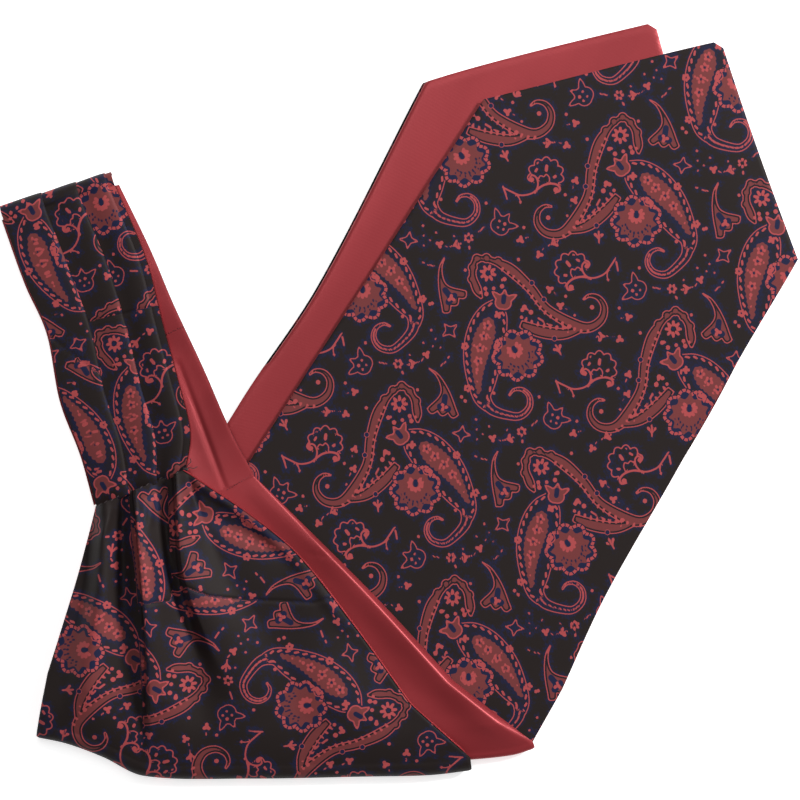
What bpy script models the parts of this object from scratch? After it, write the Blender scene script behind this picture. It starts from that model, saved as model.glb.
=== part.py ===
"""A pre-pleated silk cravat, folded in half at the neck and folded back once more.

Each piece of cloth is cut flat, as a slab of one wall's thickness, and then folded into
its place by a function that knows where every row of the cloth lies. The rows are short
tables, in millimetres. Blender's unit is the metre.
"""
import math

import bmesh
import bpy
from mathutils import Vector

MM = 0.001

# Driving dimensions, in millimetres
WALL = 1.0
SEAM = 0.3
LAYER_GAP = 0.6
NEST_GAP = 1.1
CLOTH_WIDTH = 150.0
LINING_INSET = 1.5
PLEAT_RISE = 2.8
PLEAT_TUCK = 0.4
PLEAT_OVERLAP = 2.5
TUCK_CLEARANCE = 1.8
TUCK_EASE = 0.7
PLEATS = 3
UNDERLAP = 3.0
CORE_INSET = 1.5
CORE_RIGHT_INSET = 26.0
CORE_MOST_INSET = 0.4
CORE_GROOVE = 3.0
HAIR = 0.001

# A shell and its lining, and how far each pair lifts what lies on it
PAIR = 2 * WALL + SEAM
STEP = PAIR + LAYER_GAP
NEST_STEP = PAIR + NEST_GAP
FULL_HEIGHT = 2 * STEP + NEST_STEP + PAIR
FOLD_CENTRE = FULL_HEIGHT / 2
LOOP_CENTRE = PAIR + LAYER_GAP / 2
LOOP_RADIUS = LAYER_GAP / 2 + WALL + SEAM

# How far past an edge cloth stays up, and over what run it then comes down
STAY_UP = 7.0
COME_DOWN = 26.0
BLADE_COME_DOWN = 55.0

# Where the middle of the cravat's own box lies in the tables below
LAYOUT_CENTRE = (-0.03, -0.45)

# Stages along half a cravat: the blade ends at 1, its fold at 2 and its flare at 3
BLADE_END = 1.0
FOLD_END = 2.0
FLARE_RISE = 0.2

# stage, left x, left y, right x, right y
UNDER_BLADE_ROWS = (
    (0.00, 43.3, 192.8, 166.3, 118.0),
    (0.20, 9.4, 130.5, 131.2, 60.3),
    (0.44, -33.8, 47.2, 99.9, -1.6),
    (0.60, -65.4, -0.4, 80.6, -39.8),
    (0.82, -112.0, -79.0, 49.8, -100.6),
)
TOP_BLADE_ROWS = (
    (0.00, 70.3, 185.0, 193.3, 110.2),
    (0.20, 34.2, 123.4, 161.0, 53.4),
    (0.34, 9.9, 85.7, 144.6, 26.2),
    (0.52, -22.2, 36.0, 125.7, -8.6),
    (0.74, -75.6, -48.9, 87.9, -72.6),
    (0.90, -111.1, -111.0, 65.8, -120.5),
)
TOP_SHELL_ROWS = (
    (0.00, 70.3, 185.0, 193.3, 110.2),
    (0.26, 34.2, 123.4, 161.0, 53.4),
    (0.42, 13.5, 91.3, 140.4, 18.6),
    (0.60, -12.4, 51.1, 112.2, -31.5),
    (0.78, -38.3, 11.1, 83.8, -81.5),
    (0.90, -56.9, -17.7, 66.5, -119.0),
)
# stage, left x, left y, right x, right y
UNDER_FLARE_ROWS = (
    (2.25, -144.5, -112.0, 4.0, -124.0),
    (2.50, -138.0, -91.0, -20.5, -90.0),
    (2.70, -132.5, -73.0, -42.0, -63.1),
    (2.85, -128.5, -58.0, -62.0, -46.5),
    (3.00, -124.8, -43.5, -88.8, -28.7),
)
TOP_FLARE_ROWS = (
    (2.30, -122.8, -119.3, 22.0, -115.0),
    (2.55, -116.0, -97.0, -9.0, -81.5),
    (2.80, -107.5, -67.0, -40.0, -50.5),
    (3.00, -97.8, -46.3, -60.0, -30.8),
)
# Outermost line of each fold: share of the width, x, y
UNDER_FOLD_LINE = (
    (0.00, -149.4, -138.5),
    (0.08, -137.0, -141.0),
    (0.17, -122.0, -146.5),
    (0.27, -105.0, -154.3),
    (0.50, -61.0, -155.4),
    (0.75, -15.0, -154.6),
    (0.90, 12.0, -154.0),
    (1.00, 29.5, -152.0),
)
TOP_FOLD_LINE = (
    (0.00, -131.0, -137.0),
    (0.15, -110.0, -144.5),
    (0.35, -75.0, -148.5),
    (0.60, -20.0, -148.5),
    (0.80, 22.0, -148.0),
    (0.92, 45.0, -146.0),
    (1.00, 55.5, -143.0),
)
# Hidden end of the top blade's shell, under its flare
TOP_SHELL_END = (
    (0.00, -70.0, -38.0),
    (0.35, -33.0, -79.0),
    (0.60, -6.0, -106.0),
    (0.80, 20.0, -132.0),
    (0.90, 33.0, -141.3),
    (1.00, 53.5, -141.3),
)
# Share of the way from the gathers to the loop, left x, left y, right x, right y
FRONT_BAND_ROWS = (
    (0.00, -125.0, -42.9, -88.2, -28.2),
    (0.15, -130.5, -23.0, -86.6, -13.0),
    (0.35, -139.0, -0.5, -91.8, 8.5),
    (0.55, -144.3, 27.0, -98.5, 33.0),
    (0.75, -153.3, 47.5, -105.0, 58.0),
    (1.00, -162.8, 74.0, -117.6, 87.9),
)
BACK_BAND_ROWS = (
    (0.00, -98.0, -45.9, -60.3, -29.6),
    (0.20, -108.5, -29.5, -69.5, -12.5),
    (0.45, -123.0, -4.0, -81.0, 13.5),
    (0.70, -138.0, 24.0, -93.7, 40.6),
    (0.88, -149.0, 49.0, -103.5, 63.6),
    (1.00, -162.8, 74.0, -115.6, 88.5),
)

# Largest folds of the under blade's flare: x and y at the gathers, x and y at the
# bottom, height at each end, width on the left and on the right
FLARE_FOLDS = (
    (-110.9, -40.2, -104.3, -153.3, 4.0, 1.6, 4.0, 20.0),
    (-121.0, -43.0, -136.0, -140.0, 1.8, 1.4, 8.0, 10.0),
    (-98.5, -36.0, -86.0, -116.0, 3.0, 0.8, 10.0, 5.0),
    (-90.0, -31.0, -26.0, -120.0, 2.4, 1.2, 12.0, 9.0),
)

BLADE_STAGES = (0.0, 0.1, 0.2, 0.34, 0.48, 0.62, 0.76, 0.9)
BEND_STAGES = (1.0, 1.17, 1.33, 1.5, 1.67, 1.83, 2.0)
FLARE_STAGES = (2.1, 2.22, 2.34, 2.46, 2.58, 2.7, 2.8, 2.9, 3.0)
BAND_STAGES = (0.0, 0.1, 0.22, 0.36, 0.52, 0.7, 0.86, 1.0)
LOOP_STEPS = 6
FRONT_LOOP_TURN = 110.0
BACK_LOOP_SHARE = 0.3
BACK_LOOP_STEPS = 3
BLADE_COLUMNS = 17
FLARE_COLUMNS = 19
BAND_COLUMNS = 7
CORE_COLUMNS = 12

# Stages of the hidden core, and of the groove round its edges
CORE_STAGES = (2.0, 2.15, 2.3, 2.46, 2.62, 2.8, 2.97)
GROOVE_STAGES = (2.04, 2.93)
GROOVE_SHARE = (GROOVE_STAGES[1] - GROOVE_STAGES[0]) / (CORE_STAGES[-1] - CORE_STAGES[0])

# Stages where a blade's point begins on its left and right, and where its tip is blunt
UNDER_POINT = (0.2, 0.2, 0.006)
TOP_POINT = (0.2, 0.185, 0.006)
TOP_SHELL_POINT = (0.26, 0.24, 0.008)


def between(rows, place):
    """Reads a table at a place, on smooth curves through its rows."""
    place = min(max(place, rows[0][0]), rows[-1][0])
    last = max(i for i in range(len(rows) - 1) if rows[i][0] <= place or i == 0)
    before, after = rows[last], rows[last + 1]
    span = after[0] - before[0]
    share = (place - before[0]) / span
    found = []
    for column in range(1, len(before)):
        slopes = []
        for row in (last, last + 1):
            low = rows[max(row - 1, 0)]
            high = rows[min(row + 1, len(rows) - 1)]
            slopes.append((high[column] - low[column]) / (high[0] - low[0]) * span)
        first = (2 * share**3 - 3 * share**2 + 1) * before[column]
        first += (share**3 - 2 * share**2 + share) * slopes[0]
        second = (3 * share**2 - 2 * share**3) * after[column]
        second += (share**3 - share**2) * slopes[1]
        found.append(first + second)
    return found


def on_line(line, across):
    """A point of a fold line and the way out of the cloth there."""
    here = Vector(between(line, across))
    ahead = Vector(between(line, min(across + 0.03, 1.0)))
    behind = Vector(between(line, max(across - 0.03, 0.0)))
    along = (ahead - behind).normalized()
    return here, Vector((along.y, -along.x))


def on_row(rows, stage, across):
    """A point of the cloth seen from above."""
    left_x, left_y, right_x, right_y = between(rows, stage)
    return Vector((left_x, left_y)).lerp(Vector((right_x, right_y)), across)


def towards(rows, stage, across, start_stage, start, end_stage, end):
    """A point between a table's rows, whose first or last row is a curve."""
    first_stage, last_stage = rows[0][0], rows[-1][0]
    if stage > last_stage and end is not None:
        share = (stage - last_stage) / (end_stage - last_stage)
        return on_row(rows, last_stage, across).lerp(end, share)
    if stage < first_stage and start is not None:
        share = (stage - start_stage) / (first_stage - start_stage)
        return start.lerp(on_row(rows, first_stage, across), share)
    return on_row(rows, stage, across)


def outline_of(*edges):
    """A closed outline from runs of points."""
    return [point for edge in edges for point in edge]


def edge_points(rows, left):
    """One side of a table of rows, from its first row to its last."""
    first = 1 if left else 3
    return [Vector(row[first : first + 2]) for row in rows]


def line_points(line):
    """The points of a fold line, from left to right."""
    return [Vector(row[1:]) for row in line]


def outside(outline, point):
    """How far a point lies outside an outline, or 0 inside it."""
    nearest = math.inf
    inside = False
    for index, end in enumerate(outline):
        start = outline[index - 1]
        edge = end - start
        share = (point - start).dot(edge) / max(edge.length_squared, 1e-9)
        share = min(max(share, 0.0), 1.0)
        nearest = min(nearest, (point - start - edge * share).length)
        if (start.y > point.y) != (end.y > point.y):
            crossing = start.x + (point.y - start.y) / edge.y * edge.x
            if point.x < crossing:
                inside = not inside
    return 0.0 if inside else nearest


UNDER_OUTLINE = outline_of(
    [on_row(UNDER_BLADE_ROWS, 0.0, 0.5)],
    edge_points(UNDER_BLADE_ROWS[1:], False),
    reversed(line_points(UNDER_FOLD_LINE)),
    reversed(edge_points(UNDER_BLADE_ROWS[1:], True)),
)
TOP_OUTLINE = outline_of(
    [on_row(TOP_BLADE_ROWS, 0.0, 0.5)],
    edge_points(TOP_BLADE_ROWS[1:], False),
    reversed(line_points(TOP_FOLD_LINE)),
    reversed(edge_points(TOP_BLADE_ROWS[1:], True)),
)
BACK_OUTLINE = outline_of(
    line_points(TOP_FOLD_LINE),
    edge_points(TOP_FLARE_ROWS, False),
    edge_points(BACK_BAND_ROWS, False),
    reversed(edge_points(BACK_BAND_ROWS, True)),
    reversed(edge_points(TOP_FLARE_ROWS, True)),
)


def held_up(outline, point, run=COME_DOWN):
    """1 over an outline, coming down softly to 0 beyond it."""
    share = (outside(outline, point) - STAY_UP) / run
    share = min(max(share, 0.0), 1.0)
    return 1.0 - share * share * (3 - 2 * share)


def top_blade_lift(point):
    """Height of the top blade, which lies on the under blade."""
    return STEP * held_up(UNDER_OUTLINE, point, BLADE_COME_DOWN)


def back_lift(point):
    """Height of the top blade's flare and of the neck band's back stretch."""
    return top_blade_lift(point) + NEST_STEP * held_up(TOP_OUTLINE, point)


def front_lift(point):
    """Height of the under blade's flare and of the neck band's front stretch."""
    return back_lift(point) + STEP * held_up(BACK_OUTLINE, point)


def flare_relief(point):
    """Height of the flare's largest folds, which spread and fade from the gathers."""
    height = 0.0
    for start_x, start_y, end_x, end_y, first, last, left, right in FLARE_FOLDS:
        share = (point.y - start_y) / (end_y - start_y)
        share = min(max(share, 0.0), 1.0)
        offset = point.x - (start_x + share * (end_x - start_x))
        width = left if offset < 0 else right
        fade = max(0.0, 1.0 - abs(offset) / (width * (1 + share)))
        height = max(height, (first + share * (last - first)) * fade * fade * (3 - 2 * fade))
    return height


def fold_start(line, across, radius):
    """Where the cloth stops lying flat and begins to go round a fold."""
    here, out = on_line(line, across)
    return here - out * radius


def under_half(across, stage, depth):
    """The under blade, its fold and its flare. Depth is measured from the outside."""
    start = fold_start(UNDER_FOLD_LINE, across, FOLD_CENTRE)
    if stage <= BLADE_END:
        spot = towards(UNDER_BLADE_ROWS, stage, across, None, None, BLADE_END, start)
        return Vector((spot.x, spot.y, depth))
    top = (front_lift(start) + PAIR) / 2
    if stage <= FOLD_END:
        here, out = on_line(UNDER_FOLD_LINE, across)
        angle = math.pi * (stage - BLADE_END)
        reach = (FOLD_CENTRE - depth) * math.sin(angle)
        spot = here - out * (FOLD_CENTRE - reach)
        return Vector((spot.x, spot.y, top - (top - depth) * math.cos(angle)))
    spot = towards(UNDER_FLARE_ROWS, stage, across, FOLD_END, start, None, None)
    rise = min(1.0, (stage - FOLD_END) / FLARE_RISE)
    height = front_lift(spot) + PAIR - depth + flare_relief(spot) * rise
    return Vector((spot.x, spot.y, height))


def top_half(across, stage, depth):
    """The top blade, its fold and its flare. Depth is measured from the satin side."""
    radius = FOLD_CENTRE - STEP
    start = fold_start(TOP_FOLD_LINE, across, radius)
    if stage <= BLADE_END:
        spot = towards(TOP_BLADE_ROWS, stage, across, None, None, BLADE_END, start)
        return Vector((spot.x, spot.y, top_blade_lift(spot) + depth))
    low = top_blade_lift(start) + depth
    high = back_lift(start) + PAIR - depth
    if stage <= FOLD_END:
        here, out = on_line(TOP_FOLD_LINE, across)
        angle = math.pi * (stage - BLADE_END)
        spot = here - out * (radius - (radius - depth) * math.sin(angle))
        middle = (low + high) / 2
        return Vector((spot.x, spot.y, middle - (high - low) / 2 * math.cos(angle)))
    spot = towards(TOP_FLARE_ROWS, stage, across, FOLD_END, start, None, None)
    return Vector((spot.x, spot.y, back_lift(spot) + PAIR - depth))


def top_shell(across, stage, depth):
    """The top blade's patterned face, as far as its flare hides it."""
    end = Vector(between(TOP_SHELL_END, across))
    spot = towards(TOP_SHELL_ROWS, stage, across, None, None, BLADE_END, end)
    return Vector((spot.x, spot.y, top_blade_lift(spot) + WALL + SEAM + depth))


def core(across, stage, depth):
    """The hidden layers between the top blade and its flare, depth 0 below and 1 on top."""
    radius = FOLD_CENTRE - STEP
    start = fold_start(TOP_FOLD_LINE, across, radius)
    spot = towards(TOP_FLARE_ROWS, stage, across, FOLD_END, start, None, None)
    over_blade = held_up(TOP_OUTLINE, spot)
    low = top_blade_lift(spot) + (WALL + SEAM) * over_blade
    high = back_lift(spot) + WALL
    return Vector((spot.x, spot.y, low + depth * (high - low)))


def flat_grid(across_places, stages):
    """The flat cloth: one vertex for each place across it at each stage along it."""
    mesh = bmesh.new()
    columns = len(across_places) - 1
    rows = len(stages) - 1
    bmesh.ops.create_grid(mesh, x_segments=columns, y_segments=rows, size=0.5)
    for vert in mesh.verts:
        column = round((vert.co.x + 0.5) * columns)
        row = round((vert.co.y + 0.5) * rows)
        vert.co = Vector((across_places[column], stages[row], 0.0))
    return mesh


def cut_point(mesh, left_stage, right_stage, blunt_stage):
    """Cuts the blade's end to a point with two straight cuts and blunts its tip."""
    everything = mesh.verts[:] + mesh.edges[:] + mesh.faces[:]
    left_cut = Vector((-left_stage, -0.5, 0.0))
    bmesh.ops.bisect_plane(
        mesh, geom=everything, plane_co=(0.5, 0.0, 0.0), plane_no=left_cut, clear_outer=True
    )
    everything = mesh.verts[:] + mesh.edges[:] + mesh.faces[:]
    right_cut = Vector((right_stage, -0.5, 0.0))
    bmesh.ops.bisect_plane(
        mesh, geom=everything, plane_co=(0.5, 0.0, 0.0), plane_no=right_cut, clear_outer=True
    )
    everything = mesh.verts[:] + mesh.edges[:] + mesh.faces[:]
    bmesh.ops.bisect_plane(
        mesh,
        geom=everything,
        plane_co=(0.5, blunt_stage, 0.0),
        plane_no=(0.0, -1.0, 0.0),
        clear_outer=True,
    )
    bmesh.ops.remove_doubles(mesh, verts=mesh.verts[:], dist=HAIR)


def grow(mesh, levels):
    """Gives the flat cloth its thickness, one level after another."""
    top = mesh.faces[:]
    closed_below = False
    for level in levels:
        below = top
        grown = bmesh.ops.extrude_face_region(mesh, geom=below)["geom"]
        top = [item for item in grown if isinstance(item, bmesh.types.BMFace)]
        if closed_below:
            bmesh.ops.delete(mesh, geom=below, context="FACES")
        closed_below = True
        for item in grown:
            if isinstance(item, bmesh.types.BMVert):
                item.co.z = level


def evenly(count):
    """Places at equal distances from 0 to 1."""
    return [index / (count - 1) for index in range(count)]


def material(name, colour, roughness):
    """A plain cloth."""
    made = bpy.data.materials.new(name)
    made.use_nodes = True
    shader = made.node_tree.nodes["Principled BSDF"]
    shader.inputs["Base Color"].default_value = (*colour, 1.0)
    shader.inputs["Roughness"].default_value = roughness
    shader.inputs["Metallic"].default_value = 0.0
    return made


def finish(mesh, name, looks):
    """Closes a folded piece, puts it in its place and makes it an object."""
    centre = Vector((*LAYOUT_CENTRE, 0.0))
    for vert in mesh.verts:
        vert.co = (vert.co - centre) * MM
    bmesh.ops.recalc_face_normals(mesh, faces=mesh.faces[:])
    bmesh.ops.triangulate(mesh, faces=mesh.faces[:], quad_method="SHORT_EDGE")
    data = bpy.data.meshes.new(name)
    mesh.to_mesh(data)
    mesh.free()
    data.materials.append(looks)
    data.shade_smooth()
    data.set_sharp_from_angle(angle=math.radians(40))
    piece = bpy.data.objects.new(name, data)
    bpy.context.scene.collection.objects.link(piece)
    return piece


def fold_slab(mesh, place, outer_depth):
    """Folds a flat slab: its thickness becomes depth below the outside."""
    for vert in mesh.verts:
        across, stage, level = vert.co
        vert.co = place(across, stage, outer_depth + level * WALL)


def half_cravat(name, place, columns, depth, inset, looks):
    """One wall of a blade with its fold and its flare."""
    edge = inset / CLOTH_WIDTH
    point = UNDER_POINT if place is under_half else TOP_POINT
    stages = BLADE_STAGES + BEND_STAGES + FLARE_STAGES
    places = evenly(columns)
    places[0] = edge
    places[-1] = 1 - edge
    mesh = flat_grid(places, stages)
    cut_point(mesh, *point)
    grow(mesh, (1.0,))
    fold_slab(mesh, place, depth)
    return finish(mesh, name, looks)


def make_top_shell(looks):
    """The patterned face of the top blade."""
    mesh = flat_grid(evenly(BLADE_COLUMNS), BLADE_STAGES + (BLADE_END,))
    cut_point(mesh, *TOP_SHELL_POINT)
    grow(mesh, (1.0,))
    fold_slab(mesh, top_shell, 0.0)
    return finish(mesh, "top_blade_shell", looks)


def pleat_outline(width):
    """The neck band's section: three knife pleats on a base that shows on the right."""
    pitch = (width - UNDERLAP) / PLEATS
    points = []
    for pleat in range(PLEATS):
        start = pleat * pitch - (PLEAT_OVERLAP if pleat else 0.0)
        clear = pleat * pitch + (TUCK_CLEARANCE if pleat else SEAM)
        edge = (pleat + 1) * pitch
        points.append(Vector((start, 0.0)))
        points.append(Vector((clear, 0.0)))
        points.append(Vector((edge - PLEAT_OVERLAP - TUCK_EASE, PLEAT_RISE)))
        points.append(Vector((edge, PLEAT_RISE)))
        points.append(Vector((edge, PLEAT_RISE - PLEAT_TUCK)))
        points.append(Vector((edge - PLEAT_OVERLAP, PLEAT_RISE - PLEAT_TUCK)))
    points.append(Vector((width - UNDERLAP - PLEAT_OVERLAP, 0.0)))
    points.append(Vector((width, 0.0)))
    return points


def raised(points, index, height):
    """A point of a section moved out by a height, square to both of its neighbours."""
    ways = []
    if index > 0:
        step = (points[index] - points[index - 1]).normalized()
        ways.append(Vector((-step.y, step.x)))
    if index < len(points) - 1:
        step = (points[index + 1] - points[index]).normalized()
        ways.append(Vector((-step.y, step.x)))
    middle = sum(ways, Vector((0.0, 0.0))).normalized()
    return points[index] + middle * (height / middle.dot(ways[0]))


def band_frame(rows, share):
    """Left end, way across and width of a row of the neck band."""
    left_x, left_y, right_x, right_y = between(rows, share)
    left = Vector((left_x, left_y))
    across = Vector((right_x, right_y)) - left
    return left, across.normalized(), across.length


def make_front_band(looks):
    """The pleated stretch on top, from the gathers up and round most of the loop."""
    turn = math.radians(FRONT_LOOP_TURN)
    bends = [1 + (index + 1) / LOOP_STEPS for index in range(LOOP_STEPS)]
    count = len(pleat_outline(CLOTH_WIDTH))
    mesh = flat_grid(range(count), BAND_STAGES + tuple(bends))
    grow(mesh, (1.0,))
    for vert in mesh.verts:
        index, stage, level = vert.co
        left, across, width = band_frame(FRONT_BAND_ROWS, min(stage, 1.0))
        profile = pleat_outline(width)
        point = raised(profile, round(index), level * WALL)
        spot = left + across * point.x
        if stage <= 1:
            centre = left + across * min(max(point.x, 0.0), width)
            base = front_lift(centre) + WALL + SEAM
            vert.co = Vector((spot.x, spot.y, base + point.y))
        else:
            out = Vector((-across.y, across.x))
            angle = turn * (stage - 1)
            radius = LOOP_RADIUS + point.y
            spot = spot + out * (radius * math.sin(angle))
            vert.co = Vector((spot.x, spot.y, LOOP_CENTRE + radius * math.cos(angle)))
    return finish(mesh, "neck_band_front", looks)


def loop_place(across_share, stage, radius):
    """A point of the loop under the pleats, at stage 0 above and 1 below."""
    left, across, width = band_frame(FRONT_BAND_ROWS, 1.0)
    out = Vector((-across.y, across.x))
    angle = math.pi * stage
    spot = left + across * (width * across_share) + out * (radius * math.sin(angle))
    return Vector((spot.x, spot.y, LOOP_CENTRE + radius * math.cos(angle)))


def back_place(share, across_share, depth):
    """A point of the back stretch, at a depth above the table side."""
    spot = on_row(BACK_BAND_ROWS, share, across_share)
    return Vector((spot.x, spot.y, back_lift(spot) + depth))


def make_back_band(looks):
    """The same silk behind the loop, lying on the table with its pattern down."""
    steps = range(1, BACK_LOOP_STEPS + 1)
    bends = [1 + BACK_LOOP_SHARE * step / BACK_LOOP_STEPS for step in steps]
    mesh = flat_grid(evenly(BAND_COLUMNS), BAND_STAGES + tuple(bends))
    grow(mesh, (1.0,))
    for vert in mesh.verts:
        across_share, stage, level = vert.co
        if stage <= 1:
            vert.co = back_place(stage, across_share, level * WALL)
        else:
            radius = LOOP_RADIUS + WALL - level * WALL
            vert.co = loop_place(across_share, 2 - stage, radius)
    return finish(mesh, "neck_band_back", looks)


def make_band_lining(looks):
    """The satin inside the loop, from the front gathers round to the back ones."""
    rising = list(BAND_STAGES)
    bends = [1 + (index + 1) / LOOP_STEPS for index in range(LOOP_STEPS)]
    falling = [3 - share for share in reversed(BAND_STAGES[:-1])]
    mesh = flat_grid(evenly(BAND_COLUMNS), rising + bends + falling)
    grow(mesh, (1.0,))
    for vert in mesh.verts:
        across_share, stage, level = vert.co
        if stage <= 1:
            spot = on_row(FRONT_BAND_ROWS, stage, across_share)
            vert.co = Vector((spot.x, spot.y, front_lift(spot) + level * WALL))
        elif stage < 2:
            radius = LAYER_GAP / 2 + level * WALL
            vert.co = loop_place(across_share, stage - 1, radius)
        else:
            depth = WALL + SEAM + (1 - level) * WALL
            vert.co = back_place(3 - stage, across_share, depth)
    return finish(mesh, "neck_band_lining", looks)


def make_core(looks):
    """Hidden layers as one solid: two leaves with a groove between them at the edges."""
    leaf = WALL / (NEST_STEP - SEAM)
    mesh = flat_grid(evenly(CORE_COLUMNS), CORE_STAGES)
    grow(mesh, (leaf, leaf + HAIR, 1 - leaf - HAIR, 1 - leaf, 1.0))
    for vert in mesh.verts:
        across, stage, level = vert.co
        left = CORE_INSET
        right = CORE_INSET
        if level < leaf + HAIR / 2:
            right = CORE_RIGHT_INSET
        elif level < 1 - leaf - HAIR / 2:
            left = CORE_INSET + CORE_GROOVE
            right = CORE_RIGHT_INSET + CORE_GROOVE
            stage = GROOVE_STAGES[0] + (stage - FOLD_END) * GROOVE_SHARE
        left_x, left_y, right_x, right_y = between(TOP_FLARE_ROWS, stage)
        width = math.hypot(right_x - left_x, right_y - left_y)
        inner = left / width
        outer = 1 - min(right / width, CORE_MOST_INSET)
        vert.co = core(inner + across * (outer - inner), stage, level)
    return finish(mesh, "folded_core", looks)


def main():
    """Makes every piece of the cravat."""
    for old in list(bpy.data.objects):
        bpy.data.objects.remove(old)
    patterned = material("patterned_silk", (0.045, 0.022, 0.022), 0.45)
    satin = material("red_satin", (0.33, 0.042, 0.05), 0.35)
    half_cravat("under_blade_shell", under_half, FLARE_COLUMNS, 0.0, 0.0, patterned)
    half_cravat(
        "under_blade_lining", under_half, FLARE_COLUMNS, WALL + SEAM, LINING_INSET, satin
    )
    half_cravat("top_blade_lining", top_half, BLADE_COLUMNS, 0.0, 0.0, satin)
    make_top_shell(patterned)
    make_front_band(patterned)
    make_back_band(patterned)
    make_band_lining(satin)
    make_core(patterned)


main()
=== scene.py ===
# %% [markdown]
# # A silk cravat, folded and laid flat
#
# A cravat is two wide blades joined by a narrow pleated neck band. Here it is folded in
# half at the neck with its satin inside, and both blades are folded back at the bottom.
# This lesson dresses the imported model: each solid gets a thin cloth or a filling of its
# own. A cloth is cut flat and then folded by the tables that shaped the solids, with a
# woven paisley worked out at its vertices. We work in millimetres and change to metres
# when a cloth is sewn.

# %% Load the model
import math

import bmesh
import bpy
import numpy as np
from mathutils import Matrix, Vector


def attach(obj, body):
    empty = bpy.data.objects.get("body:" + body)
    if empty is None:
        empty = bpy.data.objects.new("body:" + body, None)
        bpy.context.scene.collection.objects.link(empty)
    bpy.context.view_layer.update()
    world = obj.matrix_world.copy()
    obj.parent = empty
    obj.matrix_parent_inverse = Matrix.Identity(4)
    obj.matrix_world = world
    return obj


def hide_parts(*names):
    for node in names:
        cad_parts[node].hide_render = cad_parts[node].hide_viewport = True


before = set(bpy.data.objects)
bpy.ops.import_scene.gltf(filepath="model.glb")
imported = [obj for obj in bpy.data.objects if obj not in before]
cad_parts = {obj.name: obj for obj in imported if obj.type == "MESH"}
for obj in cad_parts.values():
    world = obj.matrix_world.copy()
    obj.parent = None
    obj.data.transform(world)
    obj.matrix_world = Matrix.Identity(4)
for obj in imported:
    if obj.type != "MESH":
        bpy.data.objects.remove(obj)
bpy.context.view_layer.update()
print("nodes:", sorted(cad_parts))

# %% [markdown]
# ## Sizes
#
# The thickness of a cloth wall and the gaps between layers are the model's own. Each
# layer's height is worked out from them.

# %% Sizes in millimetres
MM = 0.001
WALL = 1.0
SEAM = 0.3
LAYER_GAP = 0.6
NEST_GAP = 1.1
CLOTH_WIDTH = 150.0
PAIR = 2 * WALL + SEAM
STEP = PAIR + LAYER_GAP
NEST_STEP = PAIR + NEST_GAP
FULL_HEIGHT = 2 * STEP + NEST_STEP + PAIR
FOLD_CENTRE = FULL_HEIGHT / 2
LOOP_CENTRE = PAIR + LAYER_GAP / 2
STAY_UP = 7.0
COME_DOWN = 26.0
BLADE_COME_DOWN = 55.0
LAYOUT_CENTRE = (-0.03, -0.45)
print("height of the stack:", FULL_HEIGHT)

# %% [markdown]
# ## Where each cloth lies
#
# Each table gives the left and right edge of the cloth at a few stages along it: the
# blade ends at stage 1, its fold at stage 2, and its turned-back flare at stage 3. They
# are the tables that shaped the solids, so the cloth lies on its solid's form.

# %% Tables of the folded cloth
UNDER_BLADE_ROWS = (
    (0.00, 43.3, 192.8, 166.3, 118.0),
    (0.20, 9.4, 130.5, 131.2, 60.3),
    (0.44, -33.8, 47.2, 99.9, -1.6),
    (0.60, -65.4, -0.4, 80.6, -39.8),
    (0.82, -112.0, -79.0, 49.8, -100.6),
)
TOP_BLADE_ROWS = (
    (0.00, 70.3, 185.0, 193.3, 110.2),
    (0.20, 34.2, 123.4, 161.0, 53.4),
    (0.34, 9.9, 85.7, 144.6, 26.2),
    (0.52, -22.2, 36.0, 125.7, -8.6),
    (0.74, -75.6, -48.9, 87.9, -72.6),
    (0.90, -111.1, -111.0, 65.8, -120.5),
)
TOP_SHELL_ROWS = (
    (0.00, 70.3, 185.0, 193.3, 110.2),
    (0.26, 34.2, 123.4, 161.0, 53.4),
    (0.42, 13.5, 91.3, 140.4, 18.6),
    (0.60, -12.4, 51.1, 112.2, -31.5),
    (0.78, -38.3, 11.1, 83.8, -81.5),
    (0.90, -56.9, -17.7, 66.5, -119.0),
)
UNDER_FLARE_ROWS = (
    (2.25, -144.5, -112.0, 4.0, -124.0),
    (2.50, -138.0, -91.0, -20.5, -90.0),
    (2.70, -132.5, -73.0, -42.0, -63.1),
    (2.85, -128.5, -58.0, -62.0, -46.5),
    (3.00, -124.8, -43.5, -88.8, -28.7),
)
TOP_FLARE_ROWS = (
    (2.30, -122.8, -119.3, 22.0, -115.0),
    (2.55, -116.0, -97.0, -9.0, -81.5),
    (2.80, -107.5, -67.0, -40.0, -50.5),
    (3.00, -97.8, -46.3, -60.0, -30.8),
)
UNDER_FOLD_LINE = (
    (0.00, -149.4, -138.5),
    (0.08, -137.0, -141.0),
    (0.17, -122.0, -146.5),
    (0.27, -105.0, -154.3),
    (0.50, -61.0, -155.4),
    (0.75, -15.0, -154.6),
    (0.90, 12.0, -154.0),
    (1.00, 29.5, -152.0),
)
TOP_FOLD_LINE = (
    (0.00, -131.0, -137.0),
    (0.15, -110.0, -144.5),
    (0.35, -75.0, -148.5),
    (0.60, -20.0, -148.5),
    (0.80, 22.0, -148.0),
    (0.92, 45.0, -146.0),
    (1.00, 55.5, -143.0),
)
TOP_SHELL_END = (
    (0.00, -70.0, -38.0),
    (0.35, -33.0, -79.0),
    (0.60, -6.0, -106.0),
    (0.80, 20.0, -132.0),
    (0.90, 33.0, -141.3),
    (1.00, 53.5, -141.3),
)
FRONT_BAND_ROWS = (
    (0.00, -125.0, -42.9, -88.2, -28.2),
    (0.15, -130.5, -23.0, -86.6, -13.0),
    (0.35, -139.0, -0.5, -91.8, 8.5),
    (0.55, -144.3, 27.0, -98.5, 33.0),
    (0.75, -153.3, 47.5, -105.0, 58.0),
    (1.00, -162.8, 74.0, -117.6, 87.9),
)
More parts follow.
